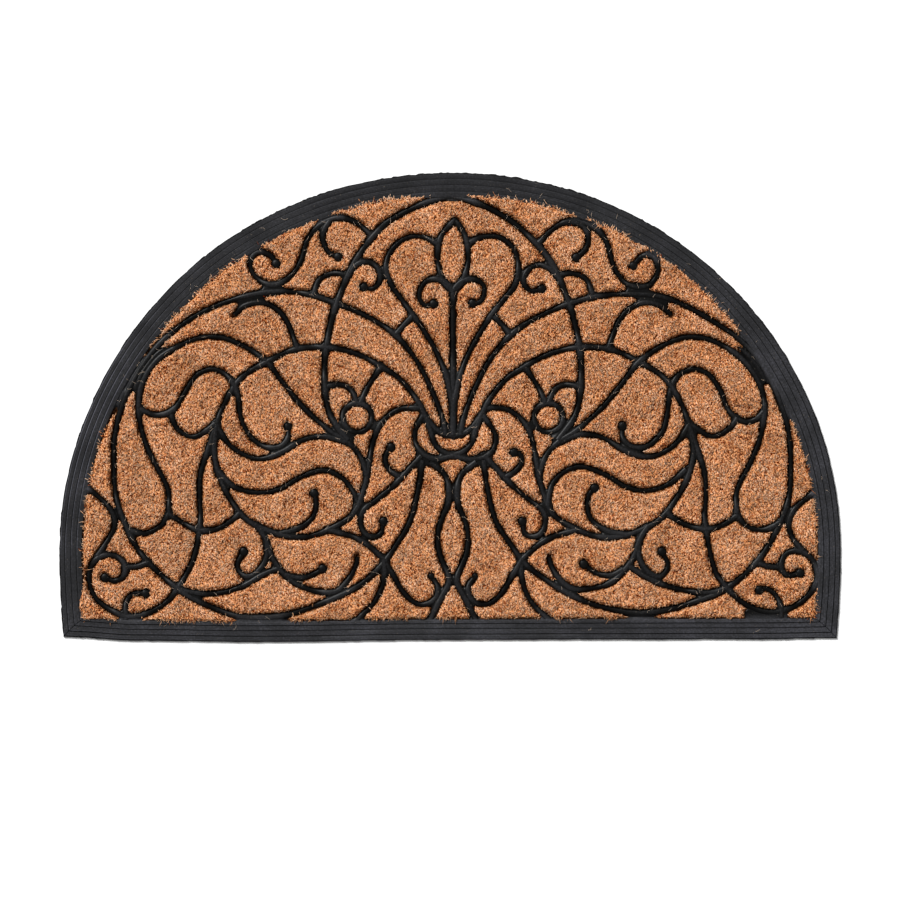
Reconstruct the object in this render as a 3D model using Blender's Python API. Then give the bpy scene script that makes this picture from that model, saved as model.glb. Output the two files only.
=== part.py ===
# A half-round doormat: one panel of coir pile, held in one black rubber moulding. The moulding is
# a back sheet, a stepped frame and scroll ribs that press into the pile. The mat lies flat, with
# its straight edge towards -Y. The origin is on the underside, in the middle of the mat's width
# and depth.

import math

import bmesh
import bpy
from mathutils import Vector
from mathutils.geometry import area_tri, delaunay_2d_cdt

MM = 0.001

# The outline, in millimetres. Y is counted from the middle of the base edge.
HALF_WIDTH = 375.0
ARC_CENTRE_Y = 83.5
ARC_HEIGHT = 365.0
SIDE_TAPER = 3.8
TAPER_POWER = 1.8
DEPTH_CENTRE_Y = 223.25
ARC_STEPS = 40
SIDE_STEPS = 3
BASE_STEPS = 12

# The base edge dips a little between its corners, more on the left: x and y of its low places.
BASE_EDGE = [(-371, 3.0), (-300, -0.7), (-190, -2.0), (0, 0.0), (150, 0.5), (300, 0.8), (371, 1.8)]

# The frame is four level bands, each a step above the one outside it: where each band starts, as
# a share of the frame's width. The innermost laps over the panel's edge.
FRAME_TOP_WIDTH = 24.0
FRAME_SIDE_WIDTH = 22.0
FRAME_BASE_WIDTH = 20.0
BAND_INNER_EDGES = (0.0, 0.24, 0.48, 0.72)
BAND_HEIGHTS = (3.2, 4.3, 5.4, 6.5)
LAP_INNER_EDGE = 0.85

# Heights above the floor. The ribs press the pile down to a thin layer, and the pile between
# them stands higher than they do.
BACK_THICKNESS = 2.5
PILE_TOP = 9.0
RIB_UNDERSIDE = 4.1

RIB_WIDTH = 5.0
BALL_DIAMETER = 8.5
BALL_SIDES = 8
GAP = 0.3

# How far a rib's straight stretches may cut across its true curve.
CHORD_ERROR = 1.2
SAMPLES_PER_SPAN = 12
FLAT_ANGLE = 0.5
MERGE_DISTANCE = 0.05

# A cell that is smaller or narrower than this is filled with rubber.
LEAST_CELL_AREA = 70.0
LEAST_CELL_WIDTH = 3.2

# The scrollwork sits a little to the right in its frame, and its left half is the wider one.
PATTERN_MIDDLE_X = 2.9
STRETCH = {"left": 1.0086, "right": 1.006}
WAY = {"left": -1, "right": 1}

# The scroll ribs of both halves: x from the pattern's middle line and y from the base edge. A rib
# runs smoothly through its points.
RIBS = {
    "top_arc": [(0, 424), (33, 418), (66, 398), (91, 367), (110, 325), (120, 285), (122, 250),
                (117, 217), (100, 192)],
    "crest_scroll": [(77, 388), (93, 401), (110, 405), (127, 398), (139, 383), (145, 363),
                     (155, 349), (171, 340.5), (187, 348), (193, 362), (186, 372), (174, 369),
                     (168, 361)],
    "crest_hook": [(117, 403), (124, 389), (119, 373), (109, 367.5)],
    "half_arch": [(133, 331), (127, 346), (113, 352), (100, 350)],
    "bud_scroll": [(100, 349), (92, 360), (81, 363), (71, 356), (70, 344), (77, 337), (85, 338.5)],
    "heart": [(14, 382), (30, 388), (47, 387), (60, 374), (63, 356), (57, 336), (44, 318),
              (28, 297), (15, 275), (6, 252), (3, 238)],
    "petal": [(0, 405), (9, 391), (15, 377), (15, 361), (10, 345), (0, 334)],
    "fleur_curl": [(0, 335), (8, 343), (19, 344.5), (30, 338), (31, 326), (22, 320), (16, 323)],
    "heart_link": [(39, 311), (55, 293)],
    "loop_rise": [(7, 197), (10, 213), (19, 237), (34, 267), (55, 293), (81, 310), (110, 323)],
    "loop_side": [(110, 323), (138, 332), (171, 334.5), (214, 325), (254, 305.5), (287, 275),
                  (311, 234), (321, 200), (322.5, 170), (320, 136), (310, 108), (298, 85),
                  (277, 62), (262, 50)],
    "loop_base": [(262, 50), (249, 41), (214, 25.5), (190, 22), (160, 24), (130, 33.5), (90, 52),
                  (69, 71), (55, 90), (41, 114), (33, 145), (29, 173)],
    "inner_loop": [(0, 196), (13, 200), (25, 213), (34, 230), (49, 249), (69, 263), (93, 275),
                   (121, 281), (150, 279), (177, 267), (202, 251), (218, 226), (225, 207),
                   (234, 180), (240, 160), (241, 138), (240, 118), (241, 106)],
    "corner_scroll": [(241, 106), (242, 98), (247, 78), (255, 61), (270, 39), (288, 27), (308, 23),
                      (328, 30.5), (343, 43), (348, 60), (342, 76), (328, 82), (314, 76),
                      (312, 64), (321, 57), (331, 60)],
    "corner_hook": [(311, 20), (311, 35), (305, 44), (292, 45)],
    "corner_link": [(312, 70), (300, 71), (289, 75)],
    "frame_link": [(355, 152), (340, 140), (326, 126), (321.5, 113), (326, 100), (338, 81)],
    "teardrop": [(82, 158), (88, 176), (100, 190), (116, 200), (142, 223), (164, 250), (177, 267),
                 (199, 282), (221, 290.5), (241, 290), (261, 282), (279, 271), (291, 256),
                 (298, 237), (298, 212), (292, 188), (281, 165), (271, 144), (270, 122)],
    "teardrop_foot": [(270, 122), (278, 110), (293, 102.5), (309, 106)],
    "side_link": [(270, 121), (256, 112), (242, 105.5), (224, 107), (208, 117), (203, 122)],
    "wave": [(298, 222), (282, 216), (266, 221), (255, 238), (244, 254), (229, 260), (214, 253),
             (205, 237), (202, 214), (193, 196), (179, 185.5), (164, 186), (157, 194),
             (157, 205)],
    "lower_wave": [(269, 219), (263, 204), (249, 195), (236, 200), (226, 208)],
    "leaf_one": [(225, 207), (213, 188), (197, 177), (182, 174), (163, 180.5), (143, 192),
                 (122, 195.5), (102, 190)],
    "trunk": [(225, 207), (227, 182), (223, 160), (211, 134), (195, 115), (175, 105), (155, 99.5),
              (135, 100), (115, 108), (98, 118), (90, 129)],
    "leaf_two": [(224, 163), (209, 148), (187, 141.5), (165, 145), (146, 156), (123, 163),
                 (105, 155), (94, 141), (90, 129)],
    "leaf_hook": [(167, 102), (148, 107), (134, 117), (130, 130), (132, 141)],
    "lower_leaf_top": [(118, 106), (93, 98.5), (78, 89), (66, 78)],
    "lower_leaf": [(186, 110), (178, 97), (172, 80), (162, 65), (147, 53), (127, 46.5),
                   (111, 47), (99, 59), (92, 73), (91, 80)],
    "lower_leaf_hook": [(160, 63), (144, 60), (131, 64), (124, 68.5)],
    "small_scroll": [(178, 97), (177, 82), (183, 69), (196, 61), (205, 71), (199, 85)],
    "lower_link": [(166, 69), (181, 63), (196, 54), (212, 47.5), (231, 44.5), (251, 46.5),
                   (263, 50)],
    "column": [(22, 171), (9, 160), (4, 147), (5, 130), (12, 115), (14.5, 99), (12, 82), (6, 66),
               (6, 54), (11, 42), (23, 18)],
    "foot_scroll": [(66, 78), (57, 63), (47, 46), (34, 35), (20, 37), (14, 49), (21, 61.5)],
    "foot": [(66, 78), (65, 66), (68, 50), (76, 35), (88, 23), (98, 15)],
    "lily": [(30, 177), (43, 163), (58, 147), (73, 134.5), (85, 125), (88, 113), (82, 101),
             (70, 101), (66, 114)],
    "lily_hook": [(49, 156), (61, 164), (64.5, 176), (59, 185)],
    "shield": [(31, 223), (51, 221.5), (67, 210), (75, 194), (79, 174), (83, 152), (90, 129)],
    "cup_bowl": [(26, 214), (22, 203), (17, 188), (8, 180), (0, 178)],
    "cup_ear": [(28, 216), (35, 204), (36, 191), (29, 179), (16, 174), (0, 177)],
    "ring_strut": [(88, 228), (81, 243), (68, 263)],
    "ring_arch": [(91, 228), (97, 240), (107, 245), (122, 243)],
    "shoulder_hook": [(148, 280), (157, 304), (167, 317), (182, 324), (198, 321), (208, 312)],
}

# The right half's own courses, where they aren't the left half's mirrored.
RIGHT_RIBS = {
    "crest_scroll": [(81.5, 381), (96, 395), (107, 401), (119, 402), (132, 397), (142, 389),
                     (147, 380), (150, 370), (153, 360), (158, 350), (165.5, 342), (176, 338.5),
                     (187.5, 341), (195, 349), (197, 359), (193.5, 367), (186, 370), (179.5, 366),
                     (174.5, 359.5)],
    "crest_hook": [(122, 402), (128, 394), (129, 384), (126.5, 375), (118, 366)],
    "bud_scroll": [(99, 349), (93, 356), (83, 360), (73.5, 357), (67.5, 348.5), (68.5, 340),
                   (75, 335), (84.5, 337)],
    "loop_side": [(110, 323), (138, 330), (171, 332), (200, 329), (225, 319), (250, 305),
                  (271, 290), (288, 272), (303, 246), (313, 224), (320, 200), (322, 170),
                  (320, 136), (311, 111), (299, 88), (278, 63), (262, 51)],
    "loop_base": [(262, 51), (249, 43.5), (232, 37.5), (212, 31), (190, 27), (172, 26.5),
                  (152, 29.5), (130, 35.5), (108, 46), (88, 58.5), (69, 73), (57, 89), (41, 114),
                  (33, 145), (29, 173)],
    "corner_scroll": [(241, 106), (243, 96), (246, 80.5), (251.5, 63.5), (260, 52), (270, 41),
                      (280, 34), (293, 28.5), (306, 27), (319, 30), (331, 36), (341, 46),
                      (346.5, 59), (345, 72), (339, 81), (328, 86), (318, 83), (312.5, 74),
                      (314, 66), (321, 62), (331, 64.5)],
    "corner_hook": [(313, 22), (312, 34), (307, 44), (299, 49.5), (292, 48)],
    "frame_link": [(356, 151), (337, 136), (325, 125), (320, 112), (323, 99.5), (333, 86)],
    "teardrop_foot": [(270, 122), (276, 113), (284, 107.5), (293, 106), (302, 107.5), (311, 113)],
    "side_link": [(271, 120), (257, 110.5), (241, 106.5), (224, 110), (209, 118), (204, 123)],
    "wave": [(296, 219), (288.5, 212), (280.5, 209.5), (272.5, 211.5), (265.5, 217), (260, 226),
             (256.5, 236), (251, 246), (243, 255.5), (230, 260), (215, 254), (207, 239),
             (204.5, 218), (201, 203), (195, 194), (187.5, 187.5), (178.5, 184.5), (169, 186.5),
             (162, 193.5), (161.5, 205.5)],
    "lower_wave": [(271, 213), (263, 203), (249, 195.5), (237, 200), (226, 208)],
    "leaf_one": [(225, 207), (214, 190), (198, 179), (183, 176), (163, 182.5), (143, 194),
                 (122, 197.5), (102, 190)],
    "trunk": [(225, 207), (229, 183), (225, 160), (213, 136), (197, 116), (176, 104.5), (155, 99),
              (135, 100), (115, 108), (98, 118), (90, 129)],
    "leaf_two": [(222, 164), (206, 150), (185.5, 143.5), (165, 147), (147, 158), (122, 166.5),
                 (106, 161.5), (95.5, 151), (91.5, 140), (90, 129)],
    "leaf_hook": [(166, 101), (147, 105), (134, 113.5), (129, 122), (128.5, 133), (130, 140),
                  (135, 146)],
    "lower_leaf": [(186, 110), (178, 97), (172, 80), (163, 67), (149, 54.5), (130, 49.5),
                   (114, 49.5), (102, 58), (94, 71), (91.5, 80)],
    "lower_leaf_hook": [(162, 68), (151, 62.5), (139, 63.5), (131, 68), (124.5, 73)],
    "lower_link": [(168, 71), (181, 62.5), (196, 55), (213, 49.5), (232, 46), (250, 46.5),
                   (262, 51)],
    "lily_hook": [(49, 156), (59, 162), (65.5, 171), (64, 178), (58, 180)],
    "cup_ear": [(28, 216), (35.5, 206), (40.5, 197), (40.5, 189), (37, 181), (30, 175.5),
                (16, 173.5), (0, 177)],
}
MIDDLE_STEM = [(0, 338), (0, 265), (0, 197)]
RING = {"x": 91.0, "y": 213.5, "diameter": 28.0, "sides": 12}
BALL_ENDS = ("crest_scroll", "crest_hook", "bud_scroll", "fleur_curl", "corner_scroll",
             "corner_hook", "wave", "leaf_hook", "lower_leaf_hook", "small_scroll", "lily",
             "lily_hook")

# Rounds of rubber that fill the space between ribs that run close together.
WEBS = {
    "stem_foot": {"x": 0, "y": 57, "diameter": 14},
    "crest": {"x": 171, "y": 337, "diameter": 10},
    "crest_hook": {"x": 122, "y": 401, "diameter": 10},
    "shoulder": {"x": 190, "y": 326, "diameter": 9},
    "lower_link": {"x": 246, "y": 45, "diameter": 9},
    "cup": {"x": 20, "y": 174, "diameter": 10},
    "ring_trunk": {"x": 98, "y": 195, "diameter": 10},
    "ring_shield": {"x": 75, "y": 206, "diameter": 9},
}
RIGHT_WEBS = {
    "crest": {"x": 176, "y": 335, "diameter": 11},
    "corner": {"x": 350, "y": 65, "diameter": 12},
}

RUBBER = {"colour": (0.028, 0.028, 0.030, 1.0), "roughness": 0.62}
COIR = {"colour": (0.36, 0.18, 0.085, 1.0), "roughness": 0.95}


def clear_scene():
    for thing in list(bpy.data.objects):
        bpy.data.objects.remove(thing, do_unlink=True)


def new_collection(name):
    collection = bpy.data.collections.new(name)
    bpy.context.scene.collection.children.link(collection)
    return collection


def new_material(name, colour, roughness):
    material = bpy.data.materials.new(name)
    material.use_nodes = True
    shader = material.node_tree.nodes["Principled BSDF"]
    shader.inputs["Base Color"].default_value = colour
    shader.inputs["Roughness"].default_value = roughness
    shader.inputs["Metallic"].default_value = 0.0
    return material


def smooth_line(points):
    """A smooth line through the points (a Catmull-Rom spline), as closely spaced points."""
    knots = [Vector(p).to_2d() for p in points]
    knots = [2 * knots[0] - knots[1]] + knots + [2 * knots[-1] - knots[-2]]
    line = []
    for before, start, end, after in zip(knots, knots[1:], knots[2:], knots[3:]):
        span = (end - start).length
        lead_in = (end - before) / max((end - before).length, 1e-9) * span
        lead_out = (after - start) / max((after - start).length, 1e-9) * span
        for i in range(SAMPLES_PER_SPAN):
            t = i / SAMPLES_PER_SPAN
            line.append(
                start * (2 * t**3 - 3 * t**2 + 1)
                + lead_in * (t**3 - 2 * t**2 + t)
                + end * (3 * t**2 - 2 * t**3)
                + lead_out * (t**3 - t**2)
            )
    return line + [knots[-2]]


def thinned(line, error):
    """The fewest of the line's points that keep it within error of its true course."""
    if len(line) < 3:
        return line
    along = (line[-1] - line[0]).normalized()
    away = [abs((p - line[0]).cross(along)) for p in line]
    far = max(range(len(line)), key=away.__getitem__)
    if away[far] <= error:
        return [line[0], line[-1]]
    return thinned(line[: far + 1], error)[:-1] + thinned(line[far:], error)


def base_edge_y(x):
    """The height of the base edge above or below its middle."""
    for (x0, y0), (x1, y1) in zip(BASE_EDGE, BASE_EDGE[1:]):
        if x <= x1:
            t = min(max((x - x0) / (x1 - x0), 0.0), 1.0)
            return y0 + (y1 - y0) * (0.5 - 0.5 * math.cos(math.pi * t))
    return BASE_EDGE[-1][1]


def outline(share, inset=0.0):
    """The mat's outline, moved in by a share of the frame's width and by a plain inset."""
    half = HALF_WIDTH - share * FRAME_SIDE_WIDTH - inset
    high = ARC_HEIGHT - share * FRAME_TOP_WIDTH - inset
    lift = share * FRAME_BASE_WIDTH + inset
    arc = [math.pi * i / ARC_STEPS for i in range(ARC_STEPS + 1)]
    points = [(half * math.cos(a), ARC_CENTRE_Y + high * math.sin(a)) for a in arc]

    corner = half - SIDE_TAPER
    left_foot = base_edge_y(-corner) + lift
    right_foot = base_edge_y(corner) + lift
    for i in range(1, SIDE_STEPS + 1):
        t = i / SIDE_STEPS
        y = ARC_CENTRE_Y + (left_foot - ARC_CENTRE_Y) * t
        points.append((-half + SIDE_TAPER * t**TAPER_POWER, y))
    for i in range(1, BASE_STEPS):
        x = corner * (2 * i / BASE_STEPS - 1)
        points.append((x, base_edge_y(x) + lift))
    for i in range(SIDE_STEPS, 0, -1):
        t = i / SIDE_STEPS
        y = ARC_CENTRE_Y + (right_foot - ARC_CENTRE_Y) * t
        points.append((half - SIDE_TAPER * t**TAPER_POWER, y))
    return points


def strip(line, half, closed):
    """A rib's strip, as one four-sided piece for each straight stretch, mitred at the bends."""
    edges = []
    last = len(line) - 1
    for i, point in enumerate(line):
        before = line[i - 1] if i or closed else None
        after = line[(i + 1) % len(line)] if i < last or closed else None
        ways = []
        if before:
            ways.append((point - before).normalized())
        if after:
            ways.append((after - point).normalized())
        along = sum(ways, Vector((0, 0))).normalized()
        across = Vector((-along.y, along.x)) * half / along.dot(ways[0])
        edges.append((point - across, point + across))
    if closed:
        edges.append(edges[0])
    return [[a[0], b[0], b[1], a[1]] for a, b in zip(edges, edges[1:])]


def round_outline(centre, diameter, sides):
    """A regular polygon, for a rib's ball end, a web or the ring's course."""
    turn = 2 * math.pi / sides
    return [
        centre + Vector((math.cos(i * turn), math.sin(i * turn))) * diameter / 2
        for i in range(sides)
    ]


def placed(x, y, side):
    """A point of one half of the scrollwork, in its place in the frame."""
    return Vector((PATTERN_MIDDLE_X + WAY[side] * STRETCH[side] * x, y))


def of_side(table, right_table, side):
    """One half's table: the right half has some rows of its own."""
    return table | right_table if side == "right" else table


def rib_lines(side):
    """The course of each rib of one half, in as few straight stretches as it needs."""
    return {
        name: thinned(smooth_line([placed(x, y, side) for x, y in points]), CHORD_ERROR)
        for name, points in of_side(RIBS, RIGHT_RIBS, side).items()
    }


def rib_pieces(extra):
    """The plan of every rib, ball and web of both halves, each side wider by extra."""
    half = RIB_WIDTH / 2 + extra
    pieces = strip([placed(x, y, "right") for x, y in MIDDLE_STEM], half, False)
    for side in ("left", "right"):
        for name, line in rib_lines(side).items():
            pieces += strip(line, half, False)
            if name in BALL_ENDS:
                pieces.append(round_outline(line[-1], BALL_DIAMETER + 2 * extra, BALL_SIDES))
        centre = placed(RING["x"], RING["y"], side)
        pieces += strip(round_outline(centre, RING["diameter"], RING["sides"]), half, True)
        for web in of_side(WEBS, RIGHT_WEBS, side).values():
            centre = placed(web["x"], web["y"], side)
            pieces.append(round_outline(centre, web["diameter"] + 2 * extra, BALL_SIDES))
    return pieces


def flat_plan(outlines, extra):
    """The mat's plan as points and triangles. With each triangle goes how many of the nested
    outlines it lies in, and whether it is in a cell: in the innermost outline, under no rib."""
    shapes = outlines + rib_pieces(extra)
    corners = [Vector(p) for shape in shapes for p in shape]
    loops = []
    for shape in shapes:
        start = loops[-1][-1] + 1 if loops else 0
        loops.append(list(range(start, start + len(shape))))
    points, _, faces, _, _, sources = delaunay_2d_cdt(
        corners, [], loops, 1, MERGE_DISTANCE, True
    )
    levels = [sum(1 for shape in source if shape < len(outlines)) for source in sources]
    cells = [
        level == len(source) == len(outlines) for level, source in zip(levels, sources)
    ]
    fill_slivers(points, faces, cells)
    return points, faces, levels, cells


def edge_faces(faces):
    """The faces beside each edge of the plan, an edge being its two points."""
    beside = {}
    for number, face in enumerate(faces):
        for a, b in zip(face, face[1:] + face[:1]):
            beside.setdefault((min(a, b), max(a, b)), []).append(number)
    return beside


def whole_cells(cells, beside):
    """The faces that are in cells, as one group for each cell."""
    joined = {number: [] for number, cell in enumerate(cells) if cell}
    for near in beside.values():
        if len(near) == 2 and cells[near[0]] and cells[near[1]]:
            joined[near[0]].append(near[1])
            joined[near[1]].append(near[0])
    groups = []
    found = set()
    for first in joined:
        if first not in found:
            found.add(first)
            group = [first]
            for number in group:
                more = [n for n in joined[number] if n not in found]
                found.update(more)
                group.extend(dict.fromkeys(more))
            groups.append(group)
    return groups


def fill_slivers(points, faces, cells):
    """Gives the cells that are too small or too narrow for pile to the rubber round them."""
    beside = edge_faces(faces)
    for group in whole_cells(cells, beside):
        area = sum(area_tri(*[points[i] for i in faces[number]]) for number in group)
        inside = set(group)
        rim = sum(
            (points[a] - points[b]).length
            for (a, b), near in beside.items() if len(inside.intersection(near)) == 1
        )
        if area < LEAST_CELL_AREA or 2 * area / rim < LEAST_CELL_WIDTH:
            for number in group:
                cells[number] = False


def walls_between(spans, others):
    """The stretches of height that are solid on one side of an edge only."""
    heights = sorted({z for span in spans + others for z in span})
    walls = []
    for low, high in zip(heights, heights[1:]):
        here = any(bottom <= low and high <= top for bottom, top in spans)
        there = any(bottom <= low and high <= top for bottom, top in others)
        if here != there:
            walls.append((low, high))
    return walls


def solid_from_plan(name, collection, material, points, faces, spans):
    """A closed solid that fills each face of the plan through its own spans of height."""
    bm = bmesh.new()
    corners = {}
    heights = {}

    def corner(i, z):
        if (i, z) not in corners:
            x, y = points[i]
            corners[i, z] = bm.verts.new((x * MM, (y - DEPTH_CENTRE_Y) * MM, z * MM))
            heights.setdefault(i, []).append(z)
        return corners[i, z]

    for face, face_spans in zip(faces, spans):
        for z in [z for span in face_spans for z in span]:
            bm.faces.new([corner(i, z) for i in face])
    for (a, b), near in edge_faces(faces).items():
        others = spans[near[1]] if len(near) == 2 else []
        for low, high in walls_between(spans[near[0]], others):
            up = [corner(a, z) for z in sorted(heights[a]) if low <= z <= high]
            down = [corner(b, z) for z in sorted(heights[b]) if low <= z <= high]
            bm.faces.new(up + down[::-1])

    angle = math.radians(FLAT_ANGLE)
    bmesh.ops.recalc_face_normals(bm, faces=bm.faces)
    bmesh.ops.dissolve_limit(bm, angle_limit=angle, verts=bm.verts, edges=bm.edges)
    mesh = bpy.data.meshes.new(name)
    bm.to_mesh(mesh)
    bm.free()
    mesh.materials.append(material)
    collection.objects.link(bpy.data.objects.new(name, mesh))


def build_coir(collection, material):
    """The panel: a thin pressed layer over the whole field, with the pile of each cell on it."""
    low = BACK_THICKNESS + GAP
    pressed = [(low, RIB_UNDERSIDE - GAP)]
    pile = [(low, PILE_TOP)]
    outlines = [outline(LAP_INNER_EDGE, GAP), outline(1.0, GAP)]
    points, faces, levels, cells = flat_plan(outlines, GAP)
    spans = []
    for level, cell in zip(levels, cells):
        spans.append(pile if cell else pressed if level else [])
    solid_from_plan("coir_panel", collection, material, points, faces, spans)


def build_rubber(collection, material):
    """The back sheet, the stepped frame and the ribs, with the panel's room under the ribs."""
    back = (0.0, BACK_THICKNESS)
    rib = (RIB_UNDERSIDE, BAND_HEIGHTS[-1])
    bands = [outline(share) for share in BAND_INNER_EDGES]
    field = [outline(LAP_INNER_EDGE), outline(1.0)]
    points, faces, levels, cells = flat_plan(bands + field, 0.0)
    spans = []
    for level, cell in zip(levels, cells):
        if level > len(bands):
            spans.append([back] if cell else [back, rib])
        else:
            spans.append([(0.0, BAND_HEIGHTS[level - 1])])
    solid_from_plan("rubber_moulding", collection, material, points, faces, spans)


def main():
    clear_scene()
    parts = new_collection("half_round_doormat")
    build_coir(parts, new_material("coir_pile", **COIR))
    build_rubber(parts, new_material("black_rubber", **RUBBER))


main()
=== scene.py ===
# A half-round coir doormat: coir pile in a black rubber moulding with scroll ribs, seen from straight
# above on a pale floor. Lengths are in millimetres until they reach Blender, Y is counted from the
# middle of the mat's straight edge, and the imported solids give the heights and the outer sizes.

import math
import random

import bmesh
import bpy
import numpy as np
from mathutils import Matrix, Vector


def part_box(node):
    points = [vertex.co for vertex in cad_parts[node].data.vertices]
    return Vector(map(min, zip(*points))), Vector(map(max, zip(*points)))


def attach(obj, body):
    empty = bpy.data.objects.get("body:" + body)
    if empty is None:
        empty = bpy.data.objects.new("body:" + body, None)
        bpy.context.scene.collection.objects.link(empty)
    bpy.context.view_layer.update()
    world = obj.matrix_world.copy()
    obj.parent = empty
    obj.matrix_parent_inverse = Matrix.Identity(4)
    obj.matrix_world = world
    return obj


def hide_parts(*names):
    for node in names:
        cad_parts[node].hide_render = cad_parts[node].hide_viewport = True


mm = 0.001
halves = ("left", "right")
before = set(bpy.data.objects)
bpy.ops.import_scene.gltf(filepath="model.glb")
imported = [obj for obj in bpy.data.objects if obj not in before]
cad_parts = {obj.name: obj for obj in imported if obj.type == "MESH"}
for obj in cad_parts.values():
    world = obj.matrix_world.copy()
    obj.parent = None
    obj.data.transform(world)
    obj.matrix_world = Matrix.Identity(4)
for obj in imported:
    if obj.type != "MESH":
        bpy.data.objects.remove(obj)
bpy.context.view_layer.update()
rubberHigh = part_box("rubber_moulding")[1]
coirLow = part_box("coir_panel")[0]
print("frame loaded:", sorted(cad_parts))

# Camera: straight above, as the photograph is taken, with a long lens.
cameraSet = {
    "widthSeen": 864.3,  # millimetres across the picture, at the mat
    "row": -40.8,  # the picture's middle lies this far towards the straight edge
    "height": 3400.0,
    "sensor": 36.0,
    "farthest": 20.0,  # how far it sees, in metres
}


def makeCamera():
    bpy.ops.object.select_all(action="DESELECT")
    bpy.ops.object.camera_add(location=(0, cameraSet["row"] * mm, cameraSet["height"] * mm),
                              rotation=(0, 0, 0))
    camera = bpy.context.object
    camera.data.sensor_width = cameraSet["sensor"]
    camera.data.lens = cameraSet["sensor"] * cameraSet["height"] / cameraSet["widthSeen"]
    camera.data.clip_end = cameraSet["farthest"]
    bpy.context.scene.camera = camera


makeCamera()
print("camera placed")

# The mat's plan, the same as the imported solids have.
plan = {
    "halfWidth": rubberHigh.x / mm,
    "arcCentre": 83.5,  # height of the half ellipse's middle above the straight edge
    "depthCentre": 223.25,  # from the straight edge to the frame's origin
    "sideTaper": 3.8,  # the short sides lean in by this much at their feet
    "taperPower": 1.8,
    "topBorder": 24.0,
    "sideBorder": 22.0,
    "baseBorder": 20.0,
    "baseEase": 0.26,  # the base's bands are wider near the mat's edge, by about this share
    "lap": 0.85,  # share of the border where the panel's hidden edge lies
    "mitre": 0.6,  # the outline has a point this near each side of a corner
    "ribEnd": 0.88,  # ribs run this far in under the border's innermost band
}
plan["arcHeight"] = rubberHigh.y / mm + plan["depthCentre"] - plan["arcCentre"]
# How far the arch bulges past a true half ellipse, by degrees from its right foot: at the outer
# edge, and at the border's inner edge.
outerBulge = [(0, 0), (22, 1.2), (38, 1.8), (52, 2.1), (67, 1.8), (80, 0.5), (95, -0.2), (112, 0.3),
              (127, 0.9), (142, 0), (157, -0.5), (172, 0.1), (180, 0)]
innerBulge = [(0, 0), (32, 0), (50, 1.9), (67, 1.8), (82, 0.5), (95, 0), (180, 0)]
baseEdge = [(-371, 3.0), (-300, -0.7), (-190, -2.0), (0, 0.0), (150, 0.5), (300, 0.8), (371, 1.8)]


def eased(table, at):
    # reads a table of places and values, with soft turns between its rows
    xs, ys = np.array(table, float).T
    i = np.clip(np.searchsorted(xs, at) - 1, 0, len(xs) - 2)
    t = np.clip((at - xs[i]) / (xs[i + 1] - xs[i]), 0, 1)
    return ys[i] + (ys[i + 1] - ys[i]) * (0.5 - 0.5 * np.cos(math.pi * t))


def readTable(table, at):
    # the same with straight runs between the rows
    return np.interp(at, *np.array(table).T)


def baseEdgeY(x):
    # the straight edge dips a little between its corners
    return eased(baseEdge, x)


def swelling(angle, share):
    # the arch's radius over that of a true ellipse
    at = np.degrees(angle)
    outer = eased(outerBulge, at)
    inner = eased(innerBulge, at)
    return 1 + (outer * (1 - share) + inner * share) / plan["halfWidth"]


def baseLift(share):
    # how far in from the straight edge a band along the base lies
    return (share + plan["baseEase"] * share * (1 - share)) * plan["baseBorder"]


def outline(share, arcSteps, sideSteps, baseSteps):
    # the mat's outline, moved in by a share of the border's width
    half = plan["halfWidth"] - share * plan["sideBorder"]
    high = plan["arcHeight"] - share * plan["topBorder"]
    lift = baseLift(share)
    arc = np.pi * np.arange(arcSteps + 1) / arcSteps
    swell = swelling(arc, share)
    rows = [np.column_stack([half * swell * np.cos(arc),
                             plan["arcCentre"] + high * swell * np.sin(arc)])]

    corner = half - plan["sideTaper"]
    close = plan["mitre"] / plan["arcCentre"]
    down = np.append(np.append(np.arange(1, sideSteps) / sideSteps, 1 - close), 1.0)
    up = down[::-1]
    sideX = half - plan["sideTaper"] * down ** plan["taperPower"]
    for way, t in ((-1, down), (1, up)):
        foot = baseEdgeY(way * corner) + lift
        x = way * (sideX if way < 0 else sideX[::-1])
        rows.append(np.column_stack([x, plan["arcCentre"] + (foot - plan["arcCentre"]) * t]))
    x = corner * (2 * np.arange(baseSteps + 1) / baseSteps - 1)
    x[0] += plan["mitre"]
    x[-1] -= plan["mitre"]
    rows.insert(2, np.column_stack([x, baseEdgeY(x) + lift]))
    return np.vstack(rows)


def insideOutline(x, y, share):
    half = plan["halfWidth"] - share * plan["sideBorder"]
    high = plan["arcHeight"] - share * plan["topBorder"]
    over = y - plan["arcCentre"]
    angle = np.arctan2(np.maximum(over, 0) / high, x / half)
    inArc = np.hypot(x / half, over / high) < swelling(angle, share)
    t = np.clip(-over / plan["arcCentre"], 0, 1)
    inFoot = (np.abs(x) < half - plan["sideTaper"] * t ** plan["taperPower"]) & (
        y > baseEdgeY(x) + baseLift(share)
    )
    return np.where(over > 0, inArc, inFoot)


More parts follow.
